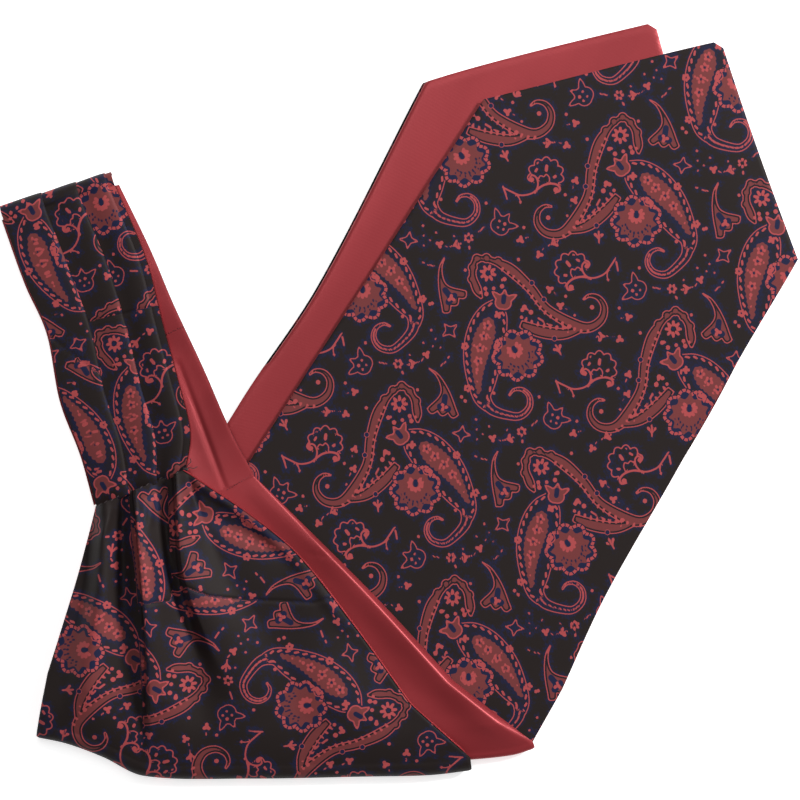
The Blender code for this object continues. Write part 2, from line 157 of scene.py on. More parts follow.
BACK_BAND_ROWS = (
    (0.00, -98.0, -45.9, -60.3, -29.6),
    (0.20, -108.5, -29.5, -69.5, -12.5),
    (0.45, -123.0, -4.0, -81.0, 13.5),
    (0.70, -138.0, 24.0, -93.7, 40.6),
    (0.88, -149.0, 49.0, -103.5, 63.6),
    (1.00, -162.8, 74.0, -115.6, 88.5),
)
# Folds of the flare, from the gathers down: how far down, x of the crest, its height,
# and how far it reaches to the left and to the right
LEFT_FOLD = (
    (42.0, -120.5, 4.8, 6.0, 7.5),
    (75.0, -122.0, 5.8, 8.0, 9.0),
    (110.0, -126.0, 4.6, 12.0, 13.0),
    (150.0, -127.0, 2.2, 14.0, 18.0),
)
FIRST_FOLD = (
    (40.0, -108.0, 6.4, 1.6, 9.0),
    (61.0, -105.8, 9.2, 1.6, 12.0),
    (83.0, -103.8, 9.8, 1.8, 16.0),
    (103.0, -102.4, 8.4, 2.2, 19.0),
    (128.0, -101.6, 5.6, 3.6, 22.0),
    (154.0, -101.4, 3.0, 6.0, 22.0),
)
SECOND_FOLD = (
    (30.0, -91.5, 5.0, 1.6, 6.0),
    (50.0, -90.2, 7.0, 2.0, 11.0),
    (72.0, -87.6, 7.6, 3.0, 20.0),
    (95.0, -79.0, 5.0, 6.0, 27.0),
    (122.0, -66.0, 1.8, 14.0, 30.0),
)
LOW_FOLD = (
    (95.0, -34.0, 0.6, 16.0, 18.0),
    (125.0, -24.0, 2.2, 22.0, 26.0),
    (155.0, -20.0, 1.6, 26.0, 28.0),
)
FLARE_FOLDS = (LEFT_FOLD, FIRST_FOLD, SECOND_FOLD, LOW_FOLD)

# %% [markdown]
# ## Reading a table
#
# A table is read on smooth curves through its rows, for thousands of vertices at once,
# so numpy does the work: a loop over single vertices would take minutes.

# %% Read a table at many places
def read_rows(rows, places):
    """Reads a table at many places, on smooth curves through its rows."""
    table = np.array(rows, dtype=float)
    keys = table[:, 0]
    count = len(keys)
    places = np.clip(places, keys[0], keys[-1])
    last = np.clip(np.searchsorted(keys, places, side="right") - 1, 0, count - 2)
    low = np.maximum(np.arange(count) - 1, 0)
    high = np.minimum(np.arange(count) + 1, count - 1)
    slopes = (table[high, 1:] - table[low, 1:]) / (keys[high] - keys[low])[:, None]
    span = (keys[last + 1] - keys[last])[:, None]
    share = (places - keys[last])[:, None] / span
    found = (2 * share**3 - 3 * share**2 + 1) * table[last, 1:]
    found = found + (share**3 - 2 * share**2 + share) * slopes[last] * span
    found = found + (3 * share**2 - 2 * share**3) * table[last + 1, 1:]
    return found + (share**3 - share**2) * slopes[last + 1] * span


def on_rows(rows, stage, across):
    """Points of the cloth seen from above."""
    ends = read_rows(rows, stage)
    return ends[:, :2] + (ends[:, 2:] - ends[:, :2]) * across[:, None]


LINE_LOOK = 0.03


def on_line(line, across):
    """Points of a fold line and the way out of the cloth there."""
    here = read_rows(line, across)
    ahead = read_rows(line, np.minimum(across + LINE_LOOK, 1.0))
    along = ahead - read_rows(line, np.maximum(across - LINE_LOOK, 0.0))
    along /= np.hypot(along[:, 0], along[:, 1])[:, None]
    return here, np.stack((along[:, 1], -along[:, 0]), axis=1)


def towards(rows, stage, across, start_stage=None, start=None, end_stage=None, end=None):
    """Points between a table's rows, whose first or last row is a curve."""
    first_stage, last_stage = rows[0][0], rows[-1][0]
    spot = on_rows(rows, stage, across)
    if end is not None:
        past = stage > last_stage
        share = ((stage - last_stage) / (end_stage - last_stage))[past, None]
        spot[past] += (end[past] - spot[past]) * share
    if start is not None:
        before = stage < first_stage
        share = ((stage - start_stage) / (first_stage - start_stage))[before, None]
        spot[before] = start[before] + (spot[before] - start[before]) * share
    return spot


def outside(outline, points):
    """How far points lie outside an outline, negative inside it."""
    nearest = np.full(len(points), np.inf)
    inside = np.zeros(len(points), dtype=bool)
    for start, end in zip(np.roll(outline, 1, axis=0), outline):
        edge = end - start
        gap = points - start
        share = np.clip(gap @ edge / max(edge @ edge, 1e-9), 0.0, 1.0)
        gap = gap - share[:, None] * edge
        nearest = np.minimum(nearest, np.hypot(gap[:, 0], gap[:, 1]))
        if start[1] != end[1]:
            straddles = (start[1] > points[:, 1]) != (end[1] > points[:, 1])
            crossing = start[0] + (points[:, 1] - start[1]) / edge[1] * edge[0]
            inside ^= straddles & (points[:, 0] < crossing)
    return np.where(inside, -nearest, nearest)


# %% [markdown]
# ## How high each layer lies
#
# Cloth stays up a little past the edge of what it lies on and then comes down softly.
# Each layer's outline lifts the layers above it, as in a real folded pile.

# %% Outlines and lifts
def sides(rows, left):
    """One side of a table of rows, from its first row to its last."""
    first = 1 if left else 3
    return [row[first : first + 2] for row in rows]


def blade_outline(rows, line):
    """The outline of a blade, from its tip round its fold."""
    tip = [tuple(on_rows(rows, np.zeros(1), np.full(1, 0.5))[0])]
    fold = [row[1:] for row in reversed(line)]
    return np.array(tip + sides(rows[1:], False) + fold + sides(rows[1:], True)[::-1])


UNDER_OUTLINE = blade_outline(UNDER_BLADE_ROWS, UNDER_FOLD_LINE)
TOP_OUTLINE = blade_outline(TOP_BLADE_ROWS, TOP_FOLD_LINE)
BACK_OUTLINE = np.array(
    [row[1:] for row in TOP_FOLD_LINE]
    + sides(TOP_FLARE_ROWS, False)
    + sides(BACK_BAND_ROWS, False)
    + sides(BACK_BAND_ROWS, True)[::-1]
    + sides(TOP_FLARE_ROWS, True)[::-1]
)


def held_up(outline, points, run=COME_DOWN):
    """1 over an outline, coming down softly to 0 beyond it."""
    share = np.clip((outside(outline, points) - STAY_UP) / run, 0.0, 1.0)
    return 1.0 - share * share * (3 - 2 * share)


def top_blade_lift(points):
    """Height of the top blade, which lies on the under blade."""
    return STEP * held_up(UNDER_OUTLINE, points, BLADE_COME_DOWN)


def back_lift(points):
    """Height of the top blade's flare and of the neck band's back stretch."""
    return top_blade_lift(points) + NEST_STEP * held_up(TOP_OUTLINE, points)


def front_lift(points):
    """Height of the under blade's flare and of the neck band's front stretch."""
    return back_lift(points) + STEP * held_up(BACK_OUTLINE, points)


def flare_relief(points):
    """Height of the flare's largest folds, which spread and fade from the gathers."""
    height = np.zeros(len(points))
    for rows in FLARE_FOLDS:
        crest, rise, left, right = read_rows(rows, -points[:, 1]).T
        offset = points[:, 0] - crest
        fade = np.maximum(0.0, 1.0 - np.abs(offset) / np.where(offset < 0, left, right))
        rise = rise * fade * fade * (3 - 2 * fade)
        height = np.sqrt(height**2 + rise**2)
    return height


CREASE_START = 0.12


def creases(points, rows):
    """Soft ridges and troughs along straight runs: ends, height and width of each."""
    height = np.zeros(len(points))
    for start_x, start_y, end_x, end_y, rise, width in rows:
        start = np.array((start_x, start_y))
        edge = np.array((end_x, end_y)) - start
        gap = points - start
        share = gap @ edge / (edge @ edge)
        inside = np.clip(share, 0.0, 1.0)
        gap = gap - inside[:, None] * edge
        distance = np.hypot(gap[:, 0], gap[:, 1])
        taper = np.sin(math.pi * (CREASE_START + (1 - 2 * CREASE_START) * inside))
        height += rise * taper * np.exp(-((distance / width) ** 2))
    return height


# %% [markdown]
# ## Folding the cloth
#
# A place on the flat cloth is how far across it is, from 0 to 1, at which stage along
# it, and how deep below its outer face. Each function here takes such places and gives
# the folded ones, in millimetres.

# %% Fold the two halves
def lay(spot, height):
    """Puts heights on points seen from above."""
    return np.column_stack((spot, height))


def go_round(line, across, stage, depth, radius, low, high):
    """The bend of a fold, from its lower wall to its upper one."""
    here, out = on_line(line, across)
    angle = math.pi * (stage - 1.0)
    reach = (radius - depth) * np.sin(angle)
    spot = here - out * (radius - reach)[:, None]
    return lay(spot, (low + high) / 2 - (high - low) / 2 * np.cos(angle))


FOLD_SAG = 2.2
SAG_RUN = 0.14
RELIEF_RUN = 0.2


def sag(stage):
    """How far a flare has come down as it nears its fold."""
    return FOLD_SAG * (1 - np.clip((stage - 2.0) / SAG_RUN, 0.0, 1.0)) ** 2


def under_half(across, stage, depth):
    """The under blade, its fold and its flare. Depth is measured from the outside."""
    here, out = on_line(UNDER_FOLD_LINE, across)
    start = here - out * FOLD_CENTRE
    blade = towards(UNDER_BLADE_ROWS, stage, across, end_stage=1.0, end=start)
    flare = towards(UNDER_FLARE_ROWS, stage, across, start_stage=2.0, start=start)
    rise = np.clip((stage - 2.0) / RELIEF_RUN, 0.0, 1.0)
    height = front_lift(flare) + PAIR - depth + flare_relief(flare) * rise - sag(stage)
    top = front_lift(start) + PAIR - FOLD_SAG
    bend = go_round(UNDER_FOLD_LINE, across, stage, depth, FOLD_CENTRE, depth, top - depth)
    placed = np.where((stage <= 1.0)[:, None], lay(blade, depth), bend)
    return np.where((stage > 2.0)[:, None], lay(flare, height), placed)


def top_half(across, stage, depth):
    """The top blade, its fold and its flare. Depth is measured from the satin side."""
    radius = FOLD_CENTRE - STEP
    here, out = on_line(TOP_FOLD_LINE, across)
    start = here - out * radius
    blade = towards(TOP_BLADE_ROWS, stage, across, end_stage=1.0, end=start)
    flare = towards(TOP_FLARE_ROWS, stage, across, start_stage=2.0, start=start)
    low = top_blade_lift(start) + depth
    high = back_lift(start) + PAIR - depth - FOLD_SAG
    bend = go_round(TOP_FOLD_LINE, across, stage, depth, radius, low, high)
    placed = np.where((stage <= 1.0)[:, None], lay(blade, top_blade_lift(blade) + depth), bend)
    height = back_lift(flare) + PAIR - depth - sag(stage)
    return np.where((stage > 2.0)[:, None], lay(flare, height), placed)


def top_shell(across, stage, depth):
    """The top blade's patterned face, as far as its flare hides it."""
    end = read_rows(TOP_SHELL_END, across)
    spot = towards(TOP_SHELL_ROWS, stage, across, end_stage=1.0, end=end)
    return lay(spot, top_blade_lift(spot) + PAIR - depth)


# %% [markdown]
# ## Cutting the flat cloth
#
# A grid operator makes the flat cloth, two straight cuts give a blade its point, and a
# hem is extruded from the open edge and turned in, so that no raw edge shows.

# %% Cut and fold one cloth
def flat_cloth(columns, stages):
    """A flat grid whose x is the share across and whose y is the stage."""
    mesh = bmesh.new()
    rows = len(stages) - 1
    bmesh.ops.create_grid(mesh, x_segments=columns, y_segments=rows, size=0.5)
    for vert in mesh.verts:
        row = round((vert.co.y + 0.5) * rows)
        vert.co = Vector((vert.co.x + 0.5, stages[row], 0.0))
    return mesh


def cut_point(mesh, left_stage, right_stage, blunt_stage):
    """Cuts the blade's end to a point with two straight cuts and blunts its tip."""
    cuts = (
        ((0.5, 0.0, 0.0), (-left_stage, -0.5, 0.0)),
        ((0.5, 0.0, 0.0), (right_stage, -0.5, 0.0)),
        ((0.5, blunt_stage, 0.0), (0.0, -1.0, 0.0)),
    )
    for place, way in cuts:
        everything = mesh.verts[:] + mesh.edges[:] + mesh.faces[:]
        bmesh.ops.bisect_plane(
            mesh, geom=everything, plane_co=place, plane_no=way, clear_outer=True
        )
    bmesh.ops.remove_doubles(mesh, verts=mesh.verts[:], dist=1e-4)


def turn_hem(mesh):
    """Extrudes the open edge once: its new vertices get level 1."""
    rim = [edge for edge in mesh.edges if edge.is_boundary]
    grown = bmesh.ops.extrude_edge_only(mesh, edges=rim)["geom"]
    for item in grown:
        if isinstance(item, bmesh.types.BMVert):
            item.co.z = 1.0


def flat_places(mesh, name):
    """Makes the flat cloth a mesh and gives its flat coordinates."""
    data = bpy.data.meshes.new(name)
    mesh.to_mesh(data)
    mesh.free()
    places = np.empty(len(data.vertices) * 3)
    data.vertices.foreach_get("co", places)
    return data, places.reshape(-1, 3)


def cut_cloth(name, columns, stages, point=None):
    """Cuts and hems a cloth and gives its flat places: across, stage and hem level."""
    mesh = flat_cloth(columns, stages)
    if point is not None:
        cut_point(mesh, *point)
    turn_hem(mesh)
    return flat_places(mesh, name)


def stages_of(*runs):
    """Stages along a cloth: start, end and rows of each run. The last has its end too."""
    rows = [np.linspace(start, end, count, endpoint=False) for start, end, count in runs[:-1]]
    return np.concatenate((*rows, np.linspace(*runs[-1])))


def put(name, data):
    """Adds an object to the scene."""
    made = bpy.data.objects.new(name, data)
    bpy.context.scene.collection.objects.link(made)
    return made


def sew(data, places, facing_up, cloth, *nodes):
    """Gives a cloth its folded place and its material, and hides the nodes it stands for."""
    looks, slot = cloth
    centre = np.array((*LAYOUT_CENTRE, 0.0))
    data.vertices.foreach_set("co", ((places - centre) * MM).ravel())
    data.update()
    normals = np.empty(len(data.polygons) * 3)
    data.polygons.foreach_get("normal", normals)
    areas = np.empty(len(data.polygons))
    data.polygons.foreach_get("area", areas)
    if ((normals[2::3] * areas * facing_up(data)).sum()) < 0:
        data.flip_normals()
    data.materials.append(looks)
    data.shade_smooth()
    data.set_sharp_from_angle(angle=math.radians(60))
    piece = put(data.name, data)
    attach(piece, "root")
    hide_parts(*nodes)
    print(data.name, "triangles:", sum(len(face.vertices) - 2 for face in data.polygons))
    return piece


def above(height):
    """Marks the faces that lie above a height, which are the ones that face up."""
    def mark(data):
        centres = np.empty(len(data.polygons) * 3)
        data.polygons.foreach_get("center", centres)
        return np.where(centres[2::3] > height * MM, 1.0, -1.0)
    return mark


def face_up(_data):
    """Marks all faces as facing up."""
    return 1.0


def face_down(_data):
    """Marks all faces as facing down."""
    return -1.0


# %% [markdown]
# ## Drawing the paisley
#
# The silk's pattern is a traditional paisley. Each motif is built from a few shapes of
# our own: bands along a curved spine, scalloped outlines, drops and dots. All of them
# are measured in millimetres from the flower at the unit's head. A pixel grid would
# blur, so the cloth's vertices store how far they are from each shape, and the material
# draws crisp lines from those distances.

# %% Shapes of the pattern
def smooth(points, closed=False, cuts=6):
    """A smooth curve through points, or through points and widths."""
    points = np.array(points, dtype=float)
    count = len(points)
    if closed:
        around = [np.roll(points, shift, axis=0) for shift in (1, 0, -1, -2)]
    else:
        first = 2 * points[0] - points[1]
        last = 2 * points[-1] - points[-2]
        run = np.vstack((first, points, last))
        around = [run[shift : shift + count - 1] for shift in range(4)]
    shares = np.arange(cuts)[None, :, None] / cuts
    before, start, end, after = (side[:, None, :] for side in around)
    curve = start + shares * (end - before) / 2
    curve = curve + shares**2 * (2 * before - 5 * start + 4 * end - after) / 2
    curve = curve + shares**3 * (3 * start - before - 3 * end + after) / 2
    curve = curve.reshape(-1, points.shape[1])
    return curve if closed else np.vstack((curve, points[-1]))


def normals_of(points, closed):
    """The way to the left at each point of a run."""
    if closed:
        along = np.roll(points, -1, axis=0) - np.roll(points, 1, axis=0)
    else:
        along = np.gradient(points, axis=0)
    along /= np.maximum(np.hypot(along[:, 0], along[:, 1]), 1e-9)[:, None]
    return np.column_stack((-along[:, 1], along[:, 0]))


def band(rows, cuts=6):
    """A closed band along a spine: x, y and width of each row."""
    curve = smooth(rows, cuts=cuts)
    spine, half = curve[:, :2], np.maximum(curve[:, 2:3], 0.3) / 2
    way = normals_of(spine, closed=False)
    return np.vstack((spine + way * half, (spine - way * half)[::-1]))


def resample(points, step, closed=True):
    """The same run with points at equal distances."""
    run = np.vstack((points, points[:1])) if closed else points
    length = np.concatenate(([0.0], np.cumsum(np.hypot(*np.diff(run, axis=0).T))))
    count = max(int(length[-1] / step), 6)
    places = np.linspace(0.0, length[-1], count, endpoint=not closed)
    return np.column_stack([np.interp(places, length, run[:, axis]) for axis in (0, 1)])


def scalloped(outline, pitch, depth):
    """Swells an outline into a row of scallops."""
    run = resample(outline, 0.35)
    way = normals_of(run, closed=True)
    centre = run.mean(axis=0)
    if ((run - centre) * way).sum() < 0:
        way = -way
    total = len(run) * 0.35
    waves = max(round(total / pitch), 3)
    swell = np.abs(np.sin(math.pi * waves * np.arange(len(run)) / len(run)))
    return run + way * (swell * depth)[:, None]


def polar(x, y, angle, reach):
    """Points at angles and distances round a centre."""
    return np.column_stack((x + reach * np.cos(angle), y + reach * np.sin(angle)))


def rosette(x, y, radius, lobes, depth, turn=0.0):
    """A round outline with lobes."""
    angle = np.linspace(0.0, 2 * math.pi, lobes * 8, endpoint=False)
    reach = radius * (1 + depth * (np.abs(np.cos(lobes * angle / 2)) - 0.5))
    return polar(x, y, angle + turn, reach)


def star(x, y, radius, points, depth, turn):
    """A round outline with sharp points."""
    angle = np.linspace(0.0, 2 * math.pi, points * 8, endpoint=False)
    reach = radius * (1 + depth * (0.5 - np.abs(np.sin(points * angle / 2))))
    return polar(x, y, angle + turn, reach)


def curl(x, y, first, last, start, end, wide, thin, steps=7):
    """Rows of a tail that curls in: a shrinking arc between two angles in degrees."""
    share = np.linspace(0.0, 1.0, steps)
    angle = np.radians(start + (end - start) * share)
    reach = first + (last - first) * share
    width = wide + (thin - wide) * share
    return [*zip(x + reach * np.cos(angle), y + reach * np.sin(angle), width)]


def half_round(x, y, radius, lobes, spread, turn):
    """An open flower's edge: a row of lobes round its front."""
    share = np.linspace(0.0, 1.0, lobes * 8 + 1)
    angle = turn + spread * (2 * share - 1)
    reach = radius * (0.88 + 0.2 * np.abs(np.sin(math.pi * lobes * share)))
    return polar(x, y, angle, reach)


def three_points(x, y, radius, turn):
    """A tulip's outline: a round cup with three drawn-out points."""
    angle = np.linspace(-math.pi, math.pi, 72, endpoint=False)
    reach = 0.62 + 0.1 * np.abs(np.cos(1.5 * angle))
    for tip, length in ((-0.95, 0.85), (0.0, 0.6), (0.95, 0.85)):
        near = np.clip(1 - np.abs(angle - tip) / 0.5, 0.0, 1.0)
        reach = np.maximum(reach, 0.5 + length * near**1.3)
    return polar(x, y, angle + turn, radius * reach)


def bell(rows, lobes, swell):
    """A horn's outline: both sides of its spine and a mouth with a row of lobes."""
    curve = smooth(rows)
    spine, half = curve[:, :2], curve[:, 2:3] / 2
    way = normals_of(spine, closed=False)
    left, right = spine + way * half, spine - way * half
    along = np.array((way[-1, 1], -way[-1, 0]))
    share = np.linspace(0.0, 1.0, lobes * 8 + 1)[1:-1, None]
    mouth = left[-1] + (right[-1] - left[-1]) * share
    mouth = mouth + along * swell * np.abs(np.sin(math.pi * lobes * share))
    return np.vstack((left, mouth, right[::-1]))


def ring_of(x, y, radius, count, length, size, turn=0.0, arc=2 * math.pi):
    """Drops set round a centre, each pointing away from it."""
    marks = []
    for index in range(count):
        angle = turn + arc * index / (count if arc > 6 else count - 1)
        way = np.array((math.cos(angle), math.sin(angle)))
        start = np.array((x, y)) + way * radius
        marks += drops((*start, *(start + way * length), size))
    return marks


LINE_HALF = 0.3
DOT_LENGTH = 0.01
PLAIN, FILLED, ROPED, BEADED = 0.0, 1.0, 2.0, 3.0


def dots(*rows, layer="detail"):
    """Dots: x, y and radius of each."""
    return [(layer, np.array(((x, y), (x, y + DOT_LENGTH))), size) for x, y, size in rows]


def drops(*rows, layer="detail"):
    """Short thick dashes: start, end and half width of each."""
    return [(layer, np.array(((a, b), (c, d))), size) for a, b, c, d, size in rows]


def stroke(points, half=LINE_HALF, cuts=6):
    """A line drawn with one half width."""
    return [("stroke", smooth(points, cuts=cuts), half)]


# %% [markdown]
# ## The motifs
#
# One unit holds a flower under a scalloped hood with two comb bands that curl together,
# a leaf with a roped edge and a curled tail, a beaded fan, a horn, a carnation on
# scrolls, a tulip, a diamond and small fillers. Each motif is a list of marks: its
# layer, its points, and a kind or a half width.

# %% Large motifs
def ring(x, y, radius):
    """A small ring with a dark middle."""
    turns = [math.radians(45 * step) for step in range(9)]
    points = [(x + radius * math.cos(turn), y + radius * math.sin(turn)) for turn in turns]
    return dots((x, y, radius), layer="hole") + stroke(points, cuts=3)


def comb_motif():
    """A hood over a flower, and two bands that curl together at their foot."""
    left = [
        (7.5, -7.6, 0.8), (7.3, -3.6, 3.6), (5.8, 2.6, 2.8), (1.2, 7.2, 2.6), (-4.4, 3.2, 2.6),
        (-8.6, -3.4, 4.6), (-11.8, -14.0, 3.9), (-13.4, -25.0, 3.6),
    ]
    left += curl(-28.4, -32.8, 9.4, 3.6, -22, -275, 4.6, 0.7)
    right = [
        (-0.9, -24.8, 3.0), (-6.0, -31.2, 4.8), (-13.8, -37.2, 4.4), (-23.0, -39.8, 1.6),
    ]
    marks = [("body", band(left), FILLED), ("body", band(right), FILLED)]
    for x, y in ((6.8, 1.2), (4.2, 5.2), (0.9, 7.4), (-2.6, 5.6), (-6.0, 2.0)):
        marks.append(("body", rosette(x, y, 1.9, 2, 0.0), FILLED))
    marks += ring_of(0.0, 0.0, 1.7, 8, 1.3, 0.6)
    marks += dots((0.0, 0.0, 0.7), layer="hole")
    spine = smooth(left)[:, :2]
    inner = spine + normals_of(spine, closed=False) * 1.3
    for x, y in resample(inner[28:54], 2.5, closed=False):
        marks += dots((x, y, 0.62), (x + 0.75, y - 0.5, 0.45))
    spine = smooth(right)[:, :2]
    inner = spine - normals_of(spine, closed=False) * 2.3
    for x, y in resample(inner[1:15], 2.2, closed=False):
        marks += dots((x, y, 0.66), (x - 0.6, y + 0.7, 0.45))
    marks += dots(
        (-29.6, -33.8, 0.95), (-4.6, -5.6, 0.9), (-2.2, -7.6, 0.95), (1.2, -6.6, 0.8),
        (4.2, -4.9, 0.85), (4.9, -7.0, 0.95), (-3.6, -5.4, 0.6), (-5.8, -19.6, 1.0),
        (-7.0, -22.8, 1.0), (-4.4, -20.2, 0.85), (-2.6, -22.6, 0.75), (-6.2, -20.8, 0.6),
        (6.6, -5.4, 0.7), (-18.0, -36.0, 0.6), (-16.0, -37.6, 0.5),
    )
    marks += drops((-8.4, -26.4, -9.6, -28.6, 0.42), (-10.4, -30.2, -11.6, -31.8, 0.36),
                   (-12.6, -32.6, -13.4, -33.8, 0.3))
    for x, y in ((-13.4, -12.6), (-14.2, -21.0), (-9.8, -37.0)):
        marks += ring(x, y, 0.95)
    return marks


def leaf_motif():
    """A paisley leaf with a roped edge, a brick heart of berries and a curled tail."""
    edge = (
        (2.2, -11.8, 3.4), (6.2, -15.0, 11.6), (12.4, -20.4, 16.0), (19.0, -28.0, 16.0),
        (24.6, -36.5, 12.0), (27.9, -42.6, 7.4), (27.8, -47.6, 4.4),
    )
    tail = [(27.9, -45.6, 4.8), (26.8, -49.6, 4.0)]
    tail += curl(16.4, -50.6, 7.6, 3.4, -25, -300, 3.4, 0.6)
    heart = ((9.2, -16.4, 2.4), (12.6, -20.0, 6.6), (17.2, -24.0, 7.0), (21.6, -29.0, 5.4),
             (25.4, -34.8, 2.6), (28.2, -40.4, 0.6))
    marks = [("body", band(edge), ROPED), ("body", band(tail), PLAIN)]
    marks.append(("patch", scalloped(band(heart), 2.2, 0.8), 0.0))
    spine = resample(smooth(tail)[:, :2], 1.0, closed=False)
    for start, end in zip(spine[1:-8:2], spine[2:-7:2]):
        marks += drops((*start, *(end + (end - start) * 0.15), 0.42))
    for x, y in ((11.2, -18.4), (14.6, -21.4), (18.4, -24.8), (21.8, -29.0)):
        marks += ring_of(x, y, 1.25, 5, 0.25, 0.6, turn=x)
        marks += dots((x, y, 0.55), layer="hole")
    marks += dots(
        (24.0, -31.8, 0.75), (25.0, -33.0, 0.55), (26.4, -36.0, 0.5), (10.0, -17.2, 0.6),
        (12.8, -23.2, 0.5), (20.0, -22.6, 0.55), (16.4, -26.4, 0.55),
    )
    marks += ring_of(5.2, -16.8, 0.75, 4, 0.4, 0.62)
    for x, y in ((23.4, -21.0), (31.2, -36.4)):
        marks += ring_of(x, y, 1.0, 5, 0.15, 0.62)
        marks += dots((x, y, 0.45), layer="hole")
    marks += drops((10.8, -27.2, 12.6, -27.9, 0.75), (13.8, -28.8, 15.4, -30.4, 0.42))
    sepal = (
        (9.4, -25.8), (11.4, -26.0), (13.6, -27.6), (12.6, -29.0), (10.2, -28.6), (9.4, -25.8),
    )
    return marks + stroke(sepal, 0.24, 3)


def fan_motif():
    """A round fan with a beaded edge, a brick star and half a flower at its heart."""
    x, y = 6.6, -35.4
    marks = [("inner", rosette(x, y + 0.2, 9.3, 9, 0.22, 0.4), BEADED)]
    marks.append(("patch", star(x, y + 0.1, 7.7, 11, 0.26, 0.4), 0.0))
    flame = ((x, y + 4.4, 4.4), (x + 0.3, y + 7.0, 2.2), (x + 0.5, y + 9.8, 0.3))
    marks.append(("patch", band(flame), 0.0))
    three_quarters = math.radians(270)
    marks += ring_of(x, y + 2.6, 1.9, 9, 1.1, 0.62, turn=math.radians(135), arc=three_quarters)
    marks += drops((x, y + 2.2, x, y + 3.6, 0.95), layer="hole")
    for index in range(8):
        angle = math.radians(195 + 21 * index)
        for reach, size in ((4.6, 0.42), (6.0, 0.34)):
            spot_x = x + reach * math.cos(angle)
            spot_y = y - 0.4 + reach * math.sin(angle)
            marks += drops((spot_x, spot_y, spot_x, spot_y + 0.5, size), layer="hole")
    return marks


def horn_motif():
    """A curved horn that opens to a mouth of three lobes."""
    rows = ((12.0, 14.6, 0.3), (15.2, 12.2, 1.0), (17.5, 8.6, 1.8), (18.7, 5.0, 3.4),
            (18.7, 1.4, 7.0), (17.8, -3.2, 13.2))
    marks = [("body", bell(rows, 3, 1.7), FILLED)]
    marks += drops((18.7, 3.0, 18.2, -0.6, 1.2), (16.6, -1.0, 20.0, -2.0, 1.3), layer="hole")
    return marks + ring_of(18.2, -1.3, 0.85, 3, 0.3, 0.7)


def carnation_motif():
    """A scalloped flower on a stem with two scrolls."""
    edge = half_round(-30.6, -16.4, 7.0, 7, math.radians(118), math.radians(88))
    sepals = (
        (-33.8, -18.2), (-32.8, -16.6), (-31.4, -17.0), (-30.4, -16.0), (-29.2, -17.2),
        (-29.0, -18.6),
    )
    stem = (
        (-36.0, -19.0), (-37.2, -17.8), (-36.2, -16.4), (-34.6, -17.2), (-33.8, -19.6),
        (-34.4, -22.2), (-36.8, -24.0), (-41.0, -24.6), (-44.6, -23.2), (-47.8, -21.6),
    )
    scroll = (
        (-34.6, -22.6), (-31.8, -20.6), (-28.4, -19.8), (-25.4, -20.6), (-24.8, -22.6),
        (-26.4, -23.4),
    )
    twig = ((-42.4, -24.6), (-41.4, -26.0), (-41.0, -27.4))
    marks = [("stroke", edge, LINE_HALF)] + stroke(sepals)
    marks += stroke(stem, 0.42) + stroke(scroll, 0.52) + stroke(twig)
    marks += drops(
        (-34.8, -14.8, -34.2, -13.8, 0.5), (-30.4, -14.4, -30.2, -12.6, 0.65),
        (-27.2, -17.2, -26.6, -16.8, 0.6), (-34.2, -11.6, -33.8, -11.2, 0.4),
        (-47.6, -22.6, -46.4, -26.4, 0.3),
    )
    return marks + dots(
        (-36.3, -18.2, 0.95), (-26.4, -22.4, 1.1), (-41.0, -27.4, 0.6), (-35.0, -23.4, 0.6),
    )


def bud_motif():
    """A small pointed bud between the head and the leaf."""
    marks = [("inner", three_points(0.6, -13.4, 4.7, math.radians(128)), FILLED)]
    return marks + drops((0.6, -13.4, -0.8, -11.6, 1.0), layer="hole")


def diamond_motif():
    """A diamond with four drawn-in sides."""
    x, y = 25.5, -12.3
    points = []
    for corner in range(4):
        angle = math.radians(90 * corner - 8)
        points.append((x + 3.9 * math.cos(angle), y + 3.5 * math.sin(angle)))
        angle += math.radians(45)
        points.append((x + 1.6 * math.cos(angle), y + 1.6 * math.sin(angle)))
    return [("body", smooth(points, closed=True, cuts=3), PLAIN)]


def tulip_motif():
    """A small tulip with drawn-out corners."""
    marks = [("body", three_points(-49.2, -37.0, 5.6, math.radians(52)), PLAIN)]
    return marks + dots(
        (-49.6, -35.2, 0.6), (-47.4, -36.4, 0.75), (-50.2, -37.8, 0.55), (-48.0, -38.6, 0.6),
    )


# %% Small motifs
def trefoil(x, y, turn):
    """Three drops on a short stalk."""
    marks = ring_of(x, y, 0.75, 3, 0.35, 0.72, turn=turn)
    way = np.array((math.cos(turn + math.pi), math.sin(turn + math.pi)))
    start = np.array((x, y)) + way * 2.2
    return marks + drops((*start, *(start + way * 1.2), 0.3))


def sprig(x, y, turn):
    """A forked twig with a drop at each end."""
    way = np.array((math.cos(turn), math.sin(turn)))
    side = np.array((-way[1], way[0]))
    base = np.array((x, y))
    marks = drops((*base, *(base - way * 1.6), 0.34))
    for ahead, aside, size in ((2.0, 1.5, 0.62), (1.8, -1.5, 0.55), (3.2, 0.0, 0.4)):
        end = way * ahead + side * aside
        marks += drops((*base, *(base + end), 0.34), (*(base + end * 0.8), *(base + end), size))
    return marks


